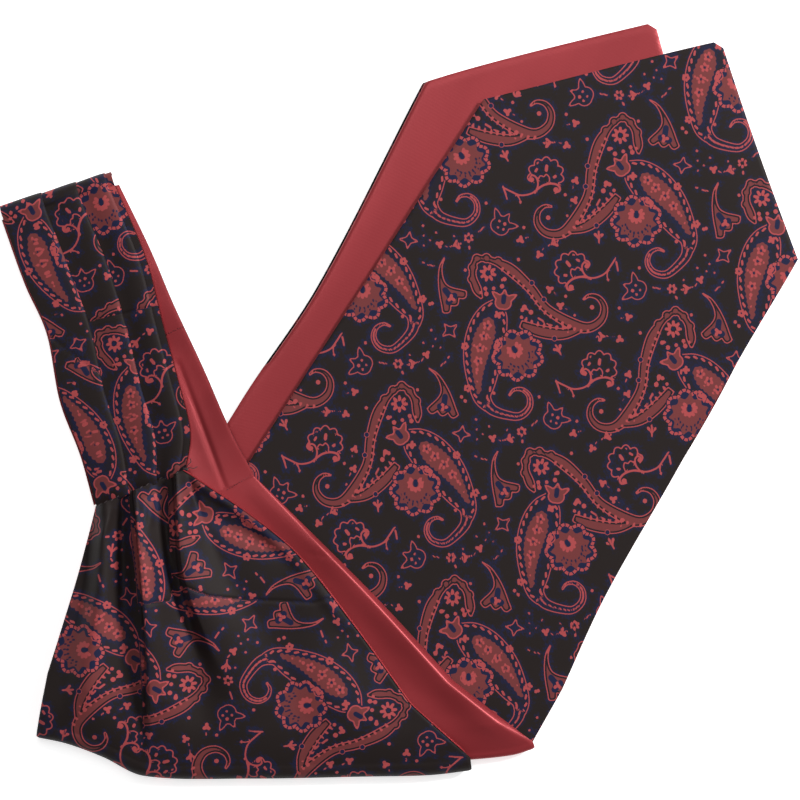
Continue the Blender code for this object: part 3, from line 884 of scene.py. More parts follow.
def filler_motifs():
    """Trefoils, sprigs, a ringed flower, dashes and dots between the large motifs."""
    marks = []
    for x, y, turn in ((-18.4, 5.0, 0.2), (-18.4, -18.6, 1.2), (-18.8, -26.6, 1.0),
                       (-22.0, -4.2, -0.4), (32.8, -59.2, 0.9)):
        marks += trefoil(x, y, turn)
    for x, y, turn in ((-28.4, -3.0, 3.2), (-8.8, -42.6, 1.6), (28.2, -62.6, 3.4)):
        marks += sprig(x, y, turn)
    marks += ring_of(21.2, -63.0, 1.25, 6, 0.4, 0.55)
    marks += drops(
        (13.4, -62.4, 16.4, -63.0, 0.36), (31.0, -21.4, 31.8, -21.6, 0.4),
        (33.4, -22.4, 36.0, -22.9, 0.36), (-1.6, -52.0, -1.0, -55.4, 0.36),
        (22.8, -66.2, 23.2, -67.0, 0.45),
    )
    marks += dots(
        (-13.6, -1.6, 0.75), (7.4, 5.8, 0.7), (27.0, 1.2, 0.75), (-22.6, -24.4, 0.7),
        (-22.2, 8.6, 0.7), (23.0, -43.6, 0.75), (7.8, -54.4, 0.7), (35.2, -38.2, 0.75),
        (-21.8, -33.0, 0.6), (31.6, -54.4, 0.55), (36.6, -52.8, 0.5), (34.8, -49.2, 0.6),
        (35.4, -55.8, 0.5), (38.6, -56.4, 0.5), (26.0, -59.4, 0.5),
    )
    return marks


UNIT = comb_motif() + leaf_motif() + fan_motif() + horn_motif() + carnation_motif()
UNIT += bud_motif() + diamond_motif() + tulip_motif() + filler_motifs()
print("marks in one unit:", len(UNIT))

# %% [markdown]
# ## The repeat
#
# Units stand on a leaning grid, and every second one is mirrored. A placing is where a
# unit's head lies, how far it is turned and whether it is mirrored.

# %% Place the units
LONG_REPEAT = 82.4
WIDE_REPEAT = 116.5
LEAN = math.radians(-74.7)
MIRROR_TURN = 2 * LEAN + math.pi
MIRROR_ALONG = 40.2
MIRROR_ACROSS = 49.2
ROWS_EACH_WAY = 6
COLUMNS_EACH_WAY = 4


def repeat(x, y, turn, box):
    """Placings of all the units whose heads lie in a box round a first head."""
    along = np.array((math.cos(LEAN + turn), math.sin(LEAN + turn)))
    across = np.array((-along[1], along[0]))
    first = np.array((x, y))
    placings = []
    for row in range(-ROWS_EACH_WAY, ROWS_EACH_WAY + 1):
        for column in range(-COLUMNS_EACH_WAY, COLUMNS_EACH_WAY + 1):
            head = first + along * LONG_REPEAT * row + across * WIDE_REPEAT * column
            twin = head + along * MIRROR_ALONG + across * MIRROR_ACROSS
            for spot, angle, mirrored in ((head, turn, False), (twin, turn + MIRROR_TURN, True)):
                if box[0] < spot[0] < box[2] and box[1] < spot[1] < box[3]:
                    placings.append((spot[0], spot[1], angle, mirrored))
    return placings


def repeat_near(x, y, turn, box):
    """The repeat that has a mirrored unit's head at a place."""
    way = LEAN + turn
    first_x = x - MIRROR_ALONG * math.cos(way) + MIRROR_ACROSS * math.sin(way)
    first_y = y - MIRROR_ALONG * math.sin(way) - MIRROR_ACROSS * math.cos(way)
    return repeat(first_x, first_y, turn, box)


def turned(points, placing):
    """Puts a motif's points in their place on the cloth."""
    x, y, angle, mirrored = placing
    flip = np.array((-1.0 if mirrored else 1.0, 1.0))
    turn = np.array(((math.cos(angle), -math.sin(angle)), (math.sin(angle), math.cos(angle))))
    return (points * flip) @ turn.T + np.array((x, y))


# %% [markdown]
# ## Distances on the cloth
#
# For each shape, only the vertices near it are measured. Outlines keep a signed
# distance, negative inside. An open line keeps a signed distance to its side and its
# plain distance too, so that the material can tell the line from its extension.

# %% Weave the pattern into a cloth
REACH = 5.0
FAR = 9.0
# The four attributes and the three numbers that each of them holds
PACKS = {
    "body": ("body", "body_kind", "body_along"),
    "inner": ("inner", "inner_kind", "inner_along"),
    "marks": ("patch", "detail", "hole"),
    "lines": ("stroke", "stroke_reach", "halo"),
}


def to_run(points, run, closed):
    """Distance, side and length along a run for each point."""
    starts = run if closed else run[:-1]
    ends = np.roll(run, -1, axis=0) if closed else run[1:]
    edges = ends - starts
    lengths = np.hypot(edges[:, 0], edges[:, 1])
    gaps = points[:, None, :] - starts[None]
    share = np.clip((gaps * edges).sum(2) / np.maximum(lengths**2, 1e-9), 0.0, 1.0)
    rest = gaps - share[..., None] * edges
    distance = np.hypot(rest[..., 0], rest[..., 1])
    best = distance.argmin(axis=1)
    pick = np.arange(len(points))
    cross = edges[best, 0] * rest[pick, best, 1] - edges[best, 1] * rest[pick, best, 0]
    travelled = np.concatenate(([0.0], np.cumsum(lengths)))[best]
    travelled = travelled + share[pick, best] * lengths[best]
    if closed:
        ys = points[:, None, 1]
        straddles = (starts[:, 1] > ys) != (ends[:, 1] > ys)
        slope = np.where(edges[:, 1] == 0.0, 1e-9, edges[:, 1])
        crossing = starts[:, 0] + (ys - starts[:, 1]) / slope * edges[:, 0]
        inside = (straddles & (points[:, None, 0] < crossing)).sum(axis=1) % 2 == 1
        side = np.where(inside, -1.0, 1.0)
    else:
        side = np.where(cross < 0, -1.0, 1.0)
    return distance[pick, best], side, travelled


def weave(points, placings):
    """Distances from the pattern's shapes for points of the cloth."""
    woven = {name: np.full(len(points), FAR) for parts in PACKS.values() for name in parts}
    for name in ("body_kind", "body_along", "inner_kind", "inner_along"):
        woven[name][:] = 0.0
    for placing in placings:
        for layer, shape, value in UNIT:
            stamp(woven, points, turned(shape, placing), layer, value)
    return woven


def merged(spots, charts):
    """One set of distances from several charts, each on its own region."""
    whole = {}
    for region, placings in charts:
        for name, values in weave(spots[region], placings).items():
            whole.setdefault(name, np.empty(len(spots)))[region] = values
    return whole


def stamp(woven, points, shape, layer, value):
    """Measures one shape and keeps it where it is the nearest of its layer."""
    low, high = shape.min(axis=0) - REACH, shape.max(axis=0) + REACH
    near = np.flatnonzero(
        (points[:, 0] > low[0]) & (points[:, 0] < high[0])
        & (points[:, 1] > low[1]) & (points[:, 1] < high[1])
    )
    if not len(near):
        return
    closed = layer in ("body", "inner", "patch")
    distance, side, along = to_run(points[near], shape, closed)
    if layer in ("detail", "hole"):
        woven[layer][near] = np.minimum(woven[layer][near], distance - value)
    elif layer == "patch":
        woven[layer][near] = np.minimum(woven[layer][near], distance * side)
    elif layer == "stroke":
        closer = distance < woven["stroke_reach"][near]
        picked = near[closer]
        woven["stroke_reach"][picked] = distance[closer]
        woven["stroke"][picked] = (distance * side)[closer] * LINE_HALF / value
    else:
        signed = distance * side
        closer = signed < woven[layer][near]
        picked = near[closer]
        woven[layer][picked] = signed[closer]
        woven[layer + "_kind"][picked] = value
        woven[layer + "_along"][picked] = along[closer]
    if layer != "hole":
        woven["halo"][near] = np.minimum(woven["halo"][near], distance)


def store(data, woven, flat):
    """Stores the pattern's distances and the flat cloth's threads on the mesh."""
    for name, parts in PACKS.items():
        attribute = data.attributes.new(name, "FLOAT_VECTOR", "POINT")
        values = np.column_stack([woven[part] for part in parts])
        attribute.data.foreach_set("vector", values.ravel())
    threads(data, flat)


def threads(data, flat):
    """Stores the place on the flat cloth, in millimetres, for its weave."""
    attribute = data.attributes.new("threads", "FLOAT_VECTOR", "POINT")
    attribute.data.foreach_set("vector", np.column_stack((flat, np.zeros(len(flat)))).ravel())


# %% [markdown]
# ## Materials
#
# Both cloths are silk. The patterned face is a fine twill of dark thread with coral,
# brick and navy figures, and the lining is a smooth satin. Their weave is one shader
# group, with the thread's pitch and slant as inputs.

# %% Small helpers for shader nodes
def node(tree, kind, **settings):
    """Adds a node and sets it."""
    made = tree.nodes.new(kind)
    for key, value in settings.items():
        setattr(made, key, value)
    return made


def feed(tree, target, source):
    """Links a socket or sets a value."""
    if isinstance(source, bpy.types.NodeSocket):
        tree.links.new(source, target)
    else:
        target.default_value = source


def calc(tree, operation, first, second=0.0, third=0.0, clamp=False):
    """A math node's result."""
    made = node(tree, "ShaderNodeMath", operation=operation, use_clamp=clamp)
    for socket, value in zip(made.inputs, (first, second, third)):
        feed(tree, socket, value)
    return made.outputs[0]


def step_up(tree, value, start, end):
    """0 below start and 1 above end, with a soft edge between."""
    made = node(tree, "ShaderNodeMapRange", interpolation_type="SMOOTHSTEP")
    feed(tree, made.inputs["Value"], value)
    made.inputs["From Min"].default_value = start
    made.inputs["From Max"].default_value = end
    return made.outputs[0]


def step_down(tree, value, start, end):
    """1 below start and 0 above end, with a soft edge between."""
    return calc(tree, "SUBTRACT", 1.0, step_up(tree, value, start, end))


def blend(tree, share, first, second):
    """A mix of two colours."""
    made = node(tree, "ShaderNodeMix", data_type="RGBA")
    feed(tree, made.inputs[0], share)
    feed(tree, made.inputs[6], first)
    feed(tree, made.inputs[7], second)
    return made.outputs[2]


def times(tree, first, *others):
    """A product of masks."""
    for other in others:
        first = calc(tree, "MULTIPLY", first, other)
    return first


def parts_of(tree, name):
    """The three numbers of an attribute."""
    found = node(tree, "ShaderNodeAttribute", attribute_name=name)
    split = node(tree, "ShaderNodeSeparateXYZ")
    tree.links.new(found.outputs["Vector"], split.inputs[0])
    return split.outputs


def noise(tree, vector, scale, detail=2.0):
    """A noise value at a place."""
    made = node(tree, "ShaderNodeTexNoise")
    feed(tree, made.inputs["Vector"], vector)
    made.inputs["Scale"].default_value = scale
    made.inputs["Detail"].default_value = detail
    return made.outputs["Fac"]


# %% The weave group
WOBBLE_SCALE = 0.6
FUZZ_SCALE = 2.2


def make_weave():
    """Slanting threads as a height and a light and dark mask."""
    tree = bpy.data.node_groups.new("cloth_weave", "ShaderNodeTree")
    face = tree.interface
    face.new_socket("Place", in_out="INPUT", socket_type="NodeSocketVector")
    for name, value in (("Pitch", 0.5), ("Slant", 1.0), ("Irregular", 0.3)):
        face.new_socket(name, in_out="INPUT", socket_type="NodeSocketFloat").default_value = value
    face.new_socket("Height", in_out="OUTPUT", socket_type="NodeSocketFloat")
    face.new_socket("Shade", in_out="OUTPUT", socket_type="NodeSocketFloat")
    enter = node(tree, "NodeGroupInput")
    leave = node(tree, "NodeGroupOutput")
    split = node(tree, "ShaderNodeSeparateXYZ")
    tree.links.new(enter.outputs["Place"], split.inputs[0])
    wobble = noise(tree, enter.outputs["Place"], WOBBLE_SCALE)
    wobble = calc(tree, "MULTIPLY", wobble, enter.outputs["Irregular"])
    lean = calc(tree, "MULTIPLY_ADD", split.outputs[0], enter.outputs["Slant"], split.outputs[1])
    phase = calc(tree, "ADD", calc(tree, "DIVIDE", lean, enter.outputs["Pitch"]), wobble)
    wave = calc(tree, "SINE", calc(tree, "MULTIPLY", phase, 2 * math.pi))
    across = calc(tree, "DIVIDE", split.outputs[0], enter.outputs["Pitch"])
    cross = calc(tree, "SINE", calc(tree, "MULTIPLY", across, 4 * math.pi))
    height = calc(tree, "MULTIPLY_ADD", wave, 0.35, 0.5)
    height = calc(tree, "MULTIPLY_ADD", cross, 0.15, height)
    feed(tree, leave.inputs["Height"], height)
    fuzz = noise(tree, enter.outputs["Place"], FUZZ_SCALE, 3.0)
    feed(tree, leave.inputs["Shade"], calc(tree, "MULTIPLY_ADD", wave, 0.12, fuzz))
    return tree


WEAVE = make_weave()


def weave_of(tree, pitch, slant, irregular):
    """The weave group, read from the flat cloth's threads."""
    place = node(tree, "ShaderNodeAttribute", attribute_name="threads").outputs["Vector"]
    made = node(tree, "ShaderNodeGroup", node_tree=WEAVE)
    feed(tree, made.inputs["Place"], place)
    made.inputs["Pitch"].default_value = pitch
    made.inputs["Slant"].default_value = slant
    made.inputs["Irregular"].default_value = irregular
    return made, place


def bump(tree, height, strength, distance):
    """A bump from a height, with its distance in metres."""
    made = node(tree, "ShaderNodeBump")
    made.inputs["Strength"].default_value = strength
    made.inputs["Distance"].default_value = distance
    feed(tree, made.inputs["Height"], height)
    return made.outputs["Normal"]


def new_material(name):
    """A material and its shader."""
    made = bpy.data.materials.new(name)
    made.use_nodes = True
    return made, made.node_tree, made.node_tree.nodes["Principled BSDF"]


# %% The red satin
RIB_PITCH = 0.42
SATIN_DEEP = (0.30, 0.031, 0.037, 1)
SATIN_LIGHT = (0.35, 0.038, 0.045, 1)
SATIN_SHADE = (0.14, 0.013, 0.018, 1)
SATIN_SHEEN = (0.9, 0.35, 0.33, 1)


def make_satin():
    """Red satin: smooth, with a fine ribbed thread and soft broad sheen."""
    made, tree, shader = new_material("red_satin_cloth")
    weave_node, place = weave_of(tree, RIB_PITCH, 0.0, 0.15)
    shade = weave_node.outputs["Shade"]
    tone = step_up(tree, noise(tree, place, 0.035, 2.0), 0.3, 0.7)
    colour = blend(tree, tone, SATIN_DEEP, SATIN_LIGHT)
    colour = blend(tree, calc(tree, "MULTIPLY", shade, 0.22), colour, SATIN_SHADE)
    feed(tree, shader.inputs["Base Color"], colour)
    feed(tree, shader.inputs["Roughness"], calc(tree, "MULTIPLY_ADD", shade, 0.1, 0.34))
    feed(tree, shader.inputs["Normal"], bump(tree, weave_node.outputs["Height"], 0.25, 0.00004))
    shader.inputs["Metallic"].default_value = 0.3
    shader.inputs["Specular IOR Level"].default_value = 0.3
    shader.inputs["Sheen Weight"].default_value = 0.04
    shader.inputs["Sheen Roughness"].default_value = 0.4
    shader.inputs["Sheen Tint"].default_value = SATIN_SHEEN
    return made


# %% The patterned silk
GROUND = (0.0185, 0.0130, 0.0122, 1)
NAVY = (0.0125, 0.0165, 0.056, 1)
CORAL = (0.47, 0.077, 0.081, 1)
BRICK = (0.20, 0.044, 0.045, 1)
DARK = (0.015, 0.012, 0.018, 1)
TWILL_PITCH = 0.5
TWILL_SLANT = 0.62
ROPE_PITCH = 3.6
ROPE_SHARE = 0.68
ROPE_DEPTH = 1.25
ROPE_HALF = 0.62
BEAD_PITCH = 1.9
BEAD_SHARE = 0.76
BEAD_HALF = 0.62
BUD_RIM_HALF = 0.28
LINE_REACH = 0.85
RAGGED_SCALE = 0.8
PATCHY_SCALE = 0.09
FINE_SCALE = 3.2
HATCH_SHARE = 0.55
SOFT = 0.06
DOT_SOFT = 0.08
KIND_MARGIN = 0.4


def is_kind(tree, kind, wanted):
    """1 where the nearest outline is of the wanted kind."""
    return calc(tree, "COMPARE", kind, wanted, KIND_MARGIN)


def ragged_halo(tree, place):
    """The blue threads close to a figure, with a ragged edge and slanting hatches."""
    halo = parts_of(tree, "lines")[2]
    flat_x, flat_y = parts_of(tree, "threads")[:2]
    ragged = noise(tree, place, RAGGED_SCALE, 4.0)
    patchy = step_up(tree, noise(tree, place, PATCHY_SCALE, 1.0), 0.36, 0.66)
    edge = calc(tree, "SUBTRACT", halo, calc(tree, "MULTIPLY_ADD", patchy, 1.3, 0.3))
    edge = calc(tree, "MULTIPLY_ADD", calc(tree, "SUBTRACT", ragged, 0.5), -7.0, edge)
    slant = calc(tree, "MULTIPLY_ADD", flat_x, 0.95, calc(tree, "MULTIPLY", flat_y, 0.5))
    slant = calc(tree, "FRACT", calc(tree, "MULTIPLY_ADD", ragged, 2.4, slant))
    hatch = calc(tree, "LESS_THAN", slant, HATCH_SHARE)
    hatch = calc(tree, "MULTIPLY_ADD", hatch, 0.65, 0.4)
    return calc(tree, "MULTIPLY", step_down(tree, edge, -0.8, 1.3), hatch)


def body_figures(tree, fine):
    """Leaves, combs, horns and tulips: their ground, their roped edge and their rim."""
    body, kind, along = parts_of(tree, "body")
    outside_fan = step_up(tree, parts_of(tree, "inner")[0], 0.9, 1.1)
    inside = times(tree, step_down(tree, body, -SOFT, SOFT), outside_fan)
    filled = is_kind(tree, kind, FILLED)
    roped = is_kind(tree, kind, ROPED)
    open_ground = times(tree, inside, calc(tree, "SUBTRACT", 1.0, filled), 0.25)
    turn = calc(tree, "FRACT", calc(tree, "DIVIDE", calc(tree, "ADD", along, body), ROPE_PITCH))
    bulge = calc(tree, "SINE", calc(tree, "MULTIPLY", turn, math.pi / ROPE_SHARE))
    strand = calc(tree, "COMPARE", body, -ROPE_DEPTH, calc(tree, "MULTIPLY", bulge, ROPE_HALF))
    dash = calc(tree, "LESS_THAN", turn, ROPE_SHARE)
    rough = calc(tree, "MULTIPLY_ADD", fine, -0.22, 0.11)
    rim = calc(tree, "ADD", calc(tree, "ABSOLUTE", body), rough)
    return (
        (open_ground, NAVY),
        (times(tree, inside, filled), DARK),
        (times(tree, inside, filled, step_down(tree, body, -0.95, -0.8)), BRICK),
        (times(tree, strand, roped, dash, outside_fan), CORAL),
        (times(tree, step_down(tree, rim, 0.12, 0.3), outside_fan), CORAL),
    )


def inner_figures(tree):
    """The fan with its beaded edge, and the bud."""
    inner, kind, along = parts_of(tree, "inner")
    inside = step_down(tree, inner, -SOFT, SOFT)
    beaded = is_kind(tree, kind, BEADED)
    filled = is_kind(tree, kind, FILLED)
    turn = calc(tree, "FRACT", calc(tree, "DIVIDE", along, BEAD_PITCH))
    bead = calc(tree, "LESS_THAN", turn, BEAD_SHARE)
    return (
        (times(tree, inside, beaded), NAVY),
        (times(tree, inside, filled), BRICK),
        (times(tree, calc(tree, "COMPARE", inner, 0.0, BEAD_HALF), beaded, bead), CORAL),
        (times(tree, calc(tree, "COMPARE", inner, 0.0, BUD_RIM_HALF), filled), CORAL),
    )


def small_figures(tree):
    """Patches, drawn lines, dots and dashes, and the dark holes between the dots."""
    patch, detail, hole = parts_of(tree, "marks")
    line, line_reach = parts_of(tree, "lines")[:2]
    drawn = step_down(tree, calc(tree, "ABSOLUTE", line), 0.18, 0.32)
    dotted = step_down(tree, detail, -DOT_SOFT, 0.1)
    beside_dots = calc(tree, "SUBTRACT", 1.0, dotted)
    return (
        (step_down(tree, patch, -0.1, 0.1), BRICK),
        (times(tree, drawn, calc(tree, "LESS_THAN", line_reach, LINE_REACH)), CORAL),
        (dotted, CORAL),
        (times(tree, step_down(tree, hole, -DOT_SOFT, DOT_SOFT), beside_dots), NAVY),
    )


def make_patterned():
    """Dark silk with the woven paisley: each figure covers the ones before it."""
    made, tree, shader = new_material("patterned_silk_cloth")
    weave_node, place = weave_of(tree, TWILL_PITCH, TWILL_SLANT, 0.25)
    fine = noise(tree, place, FINE_SCALE, 1.0)
    figures = ((ragged_halo(tree, place), NAVY), *body_figures(tree, fine))
    colour = GROUND
    for mask, tint in figures + inner_figures(tree) + small_figures(tree):
        colour = blend(tree, mask, colour, tint)
    shade = weave_node.outputs["Shade"]
    thread = calc(tree, "MULTIPLY_ADD", shade, 0.5, calc(tree, "MULTIPLY", fine, 0.25))
    colour = blend(tree, calc(tree, "MULTIPLY", thread, 0.4), colour, GROUND)
    feed(tree, shader.inputs["Base Color"], colour)
    feed(tree, shader.inputs["Roughness"], calc(tree, "MULTIPLY_ADD", shade, 0.15, 0.5))
    feed(tree, shader.inputs["Normal"], bump(tree, weave_node.outputs["Height"], 0.3, 0.00005))
    shader.inputs["Specular IOR Level"].default_value = 0.12
    shader.inputs["Sheen Weight"].default_value = 0.02
    shader.inputs["Sheen Roughness"].default_value = 0.45
    return made


SATIN = (make_satin(), "red_satin")
SILK = (make_patterned(), "patterned_silk")
print("materials:", SATIN[0].name, SILK[0].name)

# %% [markdown]
# ## The top blade
#
# Its patterned face is what shows most. The grid is fine, about two thirds of a
# millimetre, because the pattern is stored at its vertices. The pattern is laid on as
# seen from above, in the layout's own millimetres.

# %% Top blade, patterned face
HEM = 0.8
EDGE_ROUND = 1.4
EDGE_FALL = 0.45
BLADE_LENGTH = 355.0
TOP_SHELL_LENGTH = 270.0
# How far the two straight cuts reach up the sides, and the blunt tip
TOP_SHELL_POINT = (0.26, 0.24, 0.008)
TOP_POINT = (0.2, 0.185, 0.006)
UNDER_POINT = (0.2, 0.2, 0.006)
TOP_BOX = (-160, -160, 230, 240)


def edge_drop(across, stage, point=None, length=BLADE_LENGTH):
    """How far the cloth rolls down close to its edges."""
    gap = np.minimum(across, 1 - across) * CLOTH_WIDTH
    if point is not None:
        left_stage, right_stage, blunt_stage = point
        for reach, place in ((left_stage, across), (right_stage, 1 - across)):
            x = place * CLOTH_WIDTH
            y = stage * length
            run, rise = CLOTH_WIDTH / 2, reach * length
            cut = (x * rise + y * run - run * rise) / math.hypot(run, rise)
            gap = np.minimum(gap, np.where(place < 0.5, cut, np.inf))
        gap = np.minimum(gap, (stage - blunt_stage) * length)
    return EDGE_FALL * np.clip(1 - gap / EDGE_ROUND, 0.0, 1.0) ** 2


def make_top_blade():
    """The patterned face of the top blade."""
    data, flat = cut_cloth("top_blade_silk", 212, stages_of((0.0, 1.0, 420)), TOP_SHELL_POINT)
    across, stage, level = flat.T
    drop = edge_drop(across, stage, TOP_SHELL_POINT, TOP_SHELL_LENGTH)
    placed = top_shell(across, stage, np.where(level > 0, HEM, drop))
    spots = placed[:, :2]
    placed[:, 2] += creases(spots, TOP_CREASES)
    store(data, weave(spots, repeat(90.4, 108.6, 0.0, TOP_BOX)), spots)
    return sew(data, placed, face_up, SILK, "top_blade_shell")


# Soft ridges and troughs: x, y, x, y, height, width
TOP_CREASES = (
    (60.0, 150.0, -10.0, 10.0, 0.5, 16.0),
    (150.0, 100.0, 70.0, -60.0, -0.4, 18.0),
    (120.0, 60.0, 60.0, -110.0, 0.45, 14.0),
    (20.0, 40.0, 30.0, -110.0, 0.3, 20.0),
)
top_blade = make_top_blade()

# %% [markdown]
# ## The linings of the two blades
#
# Satin shows as a border beside the top blade and as the broad turned-back flare. It is
# cut like its shell and only needs a grid fine enough for its soft creases.

# %% Blade satins
BLADE_ROWS = (0.0, 1.0, 170)
BEND_ROWS = (1.0, 2.0, 16)
EDGE_HOLD = 3.0
RIM_OUT = 0.85
RIM_BACK = 0.25
RIM_EDGE = 0.999
RIM_START = 2.02
RIM_DROP = 0.8
RIM_TURN_DROP = 0.1
RIM_LOOK = 0.02
TOP_RAISE_RUN = 0.1
BORDER_INSET = 0.9 / CLOTH_WIDTH
BORDER_START = 0.13
BORDER_END = 0.55
STAGE_LENGTH = 120.0


def rolled_rim(placed, across, stage, level):
    """Rolls the flare's lining up round the silk's right edge, as a thin red rim."""
    rim = np.flatnonzero((across > RIM_EDGE) & (stage > RIM_START))
    top = under_half(across[rim], stage[rim], np.zeros(len(rim)))
    inner = under_half(across[rim] - RIM_LOOK, stage[rim], np.zeros(len(rim)))
    way = top[:, :2] - inner[:, :2]
    way /= np.hypot(way[:, 0], way[:, 1])[:, None]
    turned_up = level[rim] > 0
    spot = top[:, :2] + way * np.where(turned_up, RIM_BACK, RIM_OUT)[:, None]
    height = top[:, 2] + creases(top[:, :2], FLARE_CREASES)
    placed[rim] = lay(spot, height - np.where(turned_up, RIM_TURN_DROP, RIM_DROP))


def make_half_satin(name, fold, columns, flare_rows, depth, point, rows, node_name, facing):
    """A blade's lining with its fold and flare, and its creases: rows."""
    stages = stages_of(BLADE_ROWS, BEND_ROWS, (2.0, 3.0, flare_rows))
    data, flat = cut_cloth(name, columns, stages, point)
    across, stage, level = flat.T
    inward = 1.0 if depth < WALL else -1.0
    drop = np.where(level > 0, HEM, edge_drop(across, stage, point))
    inset = (across < 1 - RIM_EDGE) & (stage > BORDER_START) & (stage < BORDER_END)
    placed = fold(np.where(inset, BORDER_INSET, across), stage, depth + inward * drop)
    to_edge = np.clip(np.minimum(across, 1 - across) * CLOTH_WIDTH / EDGE_HOLD, 0.0, 1.0)
    on_flare = np.clip((stage - 2.0) / TOP_RAISE_RUN, 0.0, 1.0)
    raised = to_edge if fold is under_half else to_edge * on_flare
    placed[:, 2] += creases(placed[:, :2], rows) * raised
    if fold is under_half:
        rolled_rim(placed, across, stage, level)
    threads(data, np.column_stack((across * CLOTH_WIDTH, stage * STAGE_LENGTH)))
    return sew(data, placed, facing, SATIN, node_name)


FLARE_CREASES = (
    (-96.5, -36.0, -94.5, -66.0, -1.1, 1.8),
    (-94.5, -66.0, -84.0, -96.0, -0.8, 3.4),
    (-88.0, -30.5, -82.0, -46.0, -1.4, 2.0),
    (-83.0, -44.0, -46.0, -64.0, -1.2, 3.6),
    (-114.5, -42.0, -111.5, -96.0, -1.9, 3.2),
    (-87.0, -30.5, -60.0, -49.5, 1.7, 2.4),
    (-62.0, -48.0, -42.0, -66.0, 1.5, 2.6),
    (-43.0, -65.0, -22.0, -92.0, 1.0, 2.8),
    (-118.0, -45.0, -122.0, -58.0, 1.0, 1.6),
    (-105.0, -38.5, -104.0, -54.0, -0.8, 1.5),
    (-101.0, -37.5, -101.5, -50.0, 0.8, 1.5),
    (-75.0, -60.0, -30.0, -90.0, 0.6, 9.0),
    (-60.0, -95.0, 0.0, -140.0, 0.5, 14.0),
    (-95.0, -110.0, -60.0, -150.0, -0.5, 8.0),
    (-132.0, -70.0, -134.0, -130.0, 0.4, 6.0),
)
UNDER_SATIN_CREASES = (
    (-60.0, -10.0, 30.0, 150.0, 0.5, 12.0),
    (-20.0, 10.0, 50.0, 120.0, -0.3, 9.0),
)
TOP_SATIN_CREASES = (
    (-58.0, -38.0, -22.0, -70.0, 1.0, 5.0),
    (-32.0, -60.0, 54.0, -148.0, 3.2, 8.0),
    (-38.5, -62.8, -26.5, -64.4, -0.25, 0.5),
)
under_satin = make_half_satin(
    "under_blade_satin", under_half, 100, 60, PAIR, UNDER_POINT,
    UNDER_SATIN_CREASES, "under_blade_lining", above(STEP + 1.0),
)
top_satin = make_half_satin(
    "top_blade_satin", top_half, 130, 110, 0.0, TOP_POINT,
    TOP_SATIN_CREASES, "top_blade_lining", above(STEP + 1.5),
)

# %% [markdown]
# ## The under blade
#
# The under blade lies face down, so only its edge and its turned-back flare show. The
# flare carries the large soft folds that spread from the gathers, and a seam across it
# where two cuts of the cloth meet without matching.

# %% Under blade, face down
UNDER_BOX = (-190, -200, 220, 260)


def make_under_blade():
    """The patterned face of the under blade, down on the table."""
    data, flat = cut_cloth("under_blade_silk", 140, stages_of((0.0, 1.0, 320)), UNDER_POINT)
    across, stage, level = flat.T
    drop = np.where(level > 0, HEM, edge_drop(across, stage, UNDER_POINT) * 0.5)
    placed = under_half(across, stage, drop)
    spots = placed[:, :2]
    store(data, weave(spots, repeat(60.0, 80.0, 0.3, UNDER_BOX)), spots)
    return sew(data, placed, face_down, SILK, "under_blade_shell")


under_blade = make_under_blade()

# %% The flare
RIDGE_LINE = (
    (-110.9, -40.2), (-109.5, -61.0), (-108.0, -74.0), (-106.0, -103.0), (-104.3, -153.3),
)
VALLEY_LINE = ((-95.0, -33.0), (-94.0, -66.0), (-92.0, -84.0), (-80.0, -120.0))
SEAM_LINE = (
    (-106.4, -83.1), (-93.5, -81.6), (-92.5, -71.3), (-87.9, -75.4), (-77.5, -80.0),
    (-63.3, -81.6), (-49.4, -82.0), (-35.0, -82.8), (-28.9, -81.0),
)
FLARE_BOX = (-260, -260, 160, 60)


def right_of(line, spots):
    """Which points lie to the right of a line that runs down."""
    xs, ys = np.array(line).T
    return spots[:, 0] > np.interp(-spots[:, 1], -ys, xs)


def below(line, spots):
    """Which points lie below a line that runs across."""
    xs, ys = np.array(line).T
    return spots[:, 1] < np.interp(spots[:, 0], xs, ys)


def flare_pattern(spots):
    """The flare's pattern: cuts below and above the seam and to both sides of a fold."""
    low = below(SEAM_LINE, spots)
    right = right_of(RIDGE_LINE, spots)
    beyond = right_of(VALLEY_LINE, spots)
    low_turn = math.radians(-112.8)
    return merged(spots, (
        (low & right, repeat_near(-4.7, -126.7, low_turn, FLARE_BOX)),
        (~right, repeat_near(-13.7, -114.7, low_turn, FLARE_BOX)),
        (~low & right & ~beyond, repeat_near(-94.3, -97.7, math.radians(-156.0), FLARE_BOX)),
        (~low & right & beyond, repeat_near(-91.7, -52.2, math.radians(85.5), FLARE_BOX)),
    ))


SEAM_DIP = 0.45
SEAM_DIP_WIDTH = 0.7
FLARE_START = 0.985
START_TUCK = 0.06
CREASE_RUN = 0.2


def seam_dip(spots):
    """A narrow dip along the seam across the flare."""
    xs, ys = np.array(SEAM_LINE).T
    gap = np.abs(spots[:, 1] - np.interp(spots[:, 0], xs, ys))
    beside = (spots[:, 0] > xs[0]) & (spots[:, 0] < xs[-1])
    return -SEAM_DIP * np.exp(-((gap / SEAM_DIP_WIDTH) ** 2)) * beside


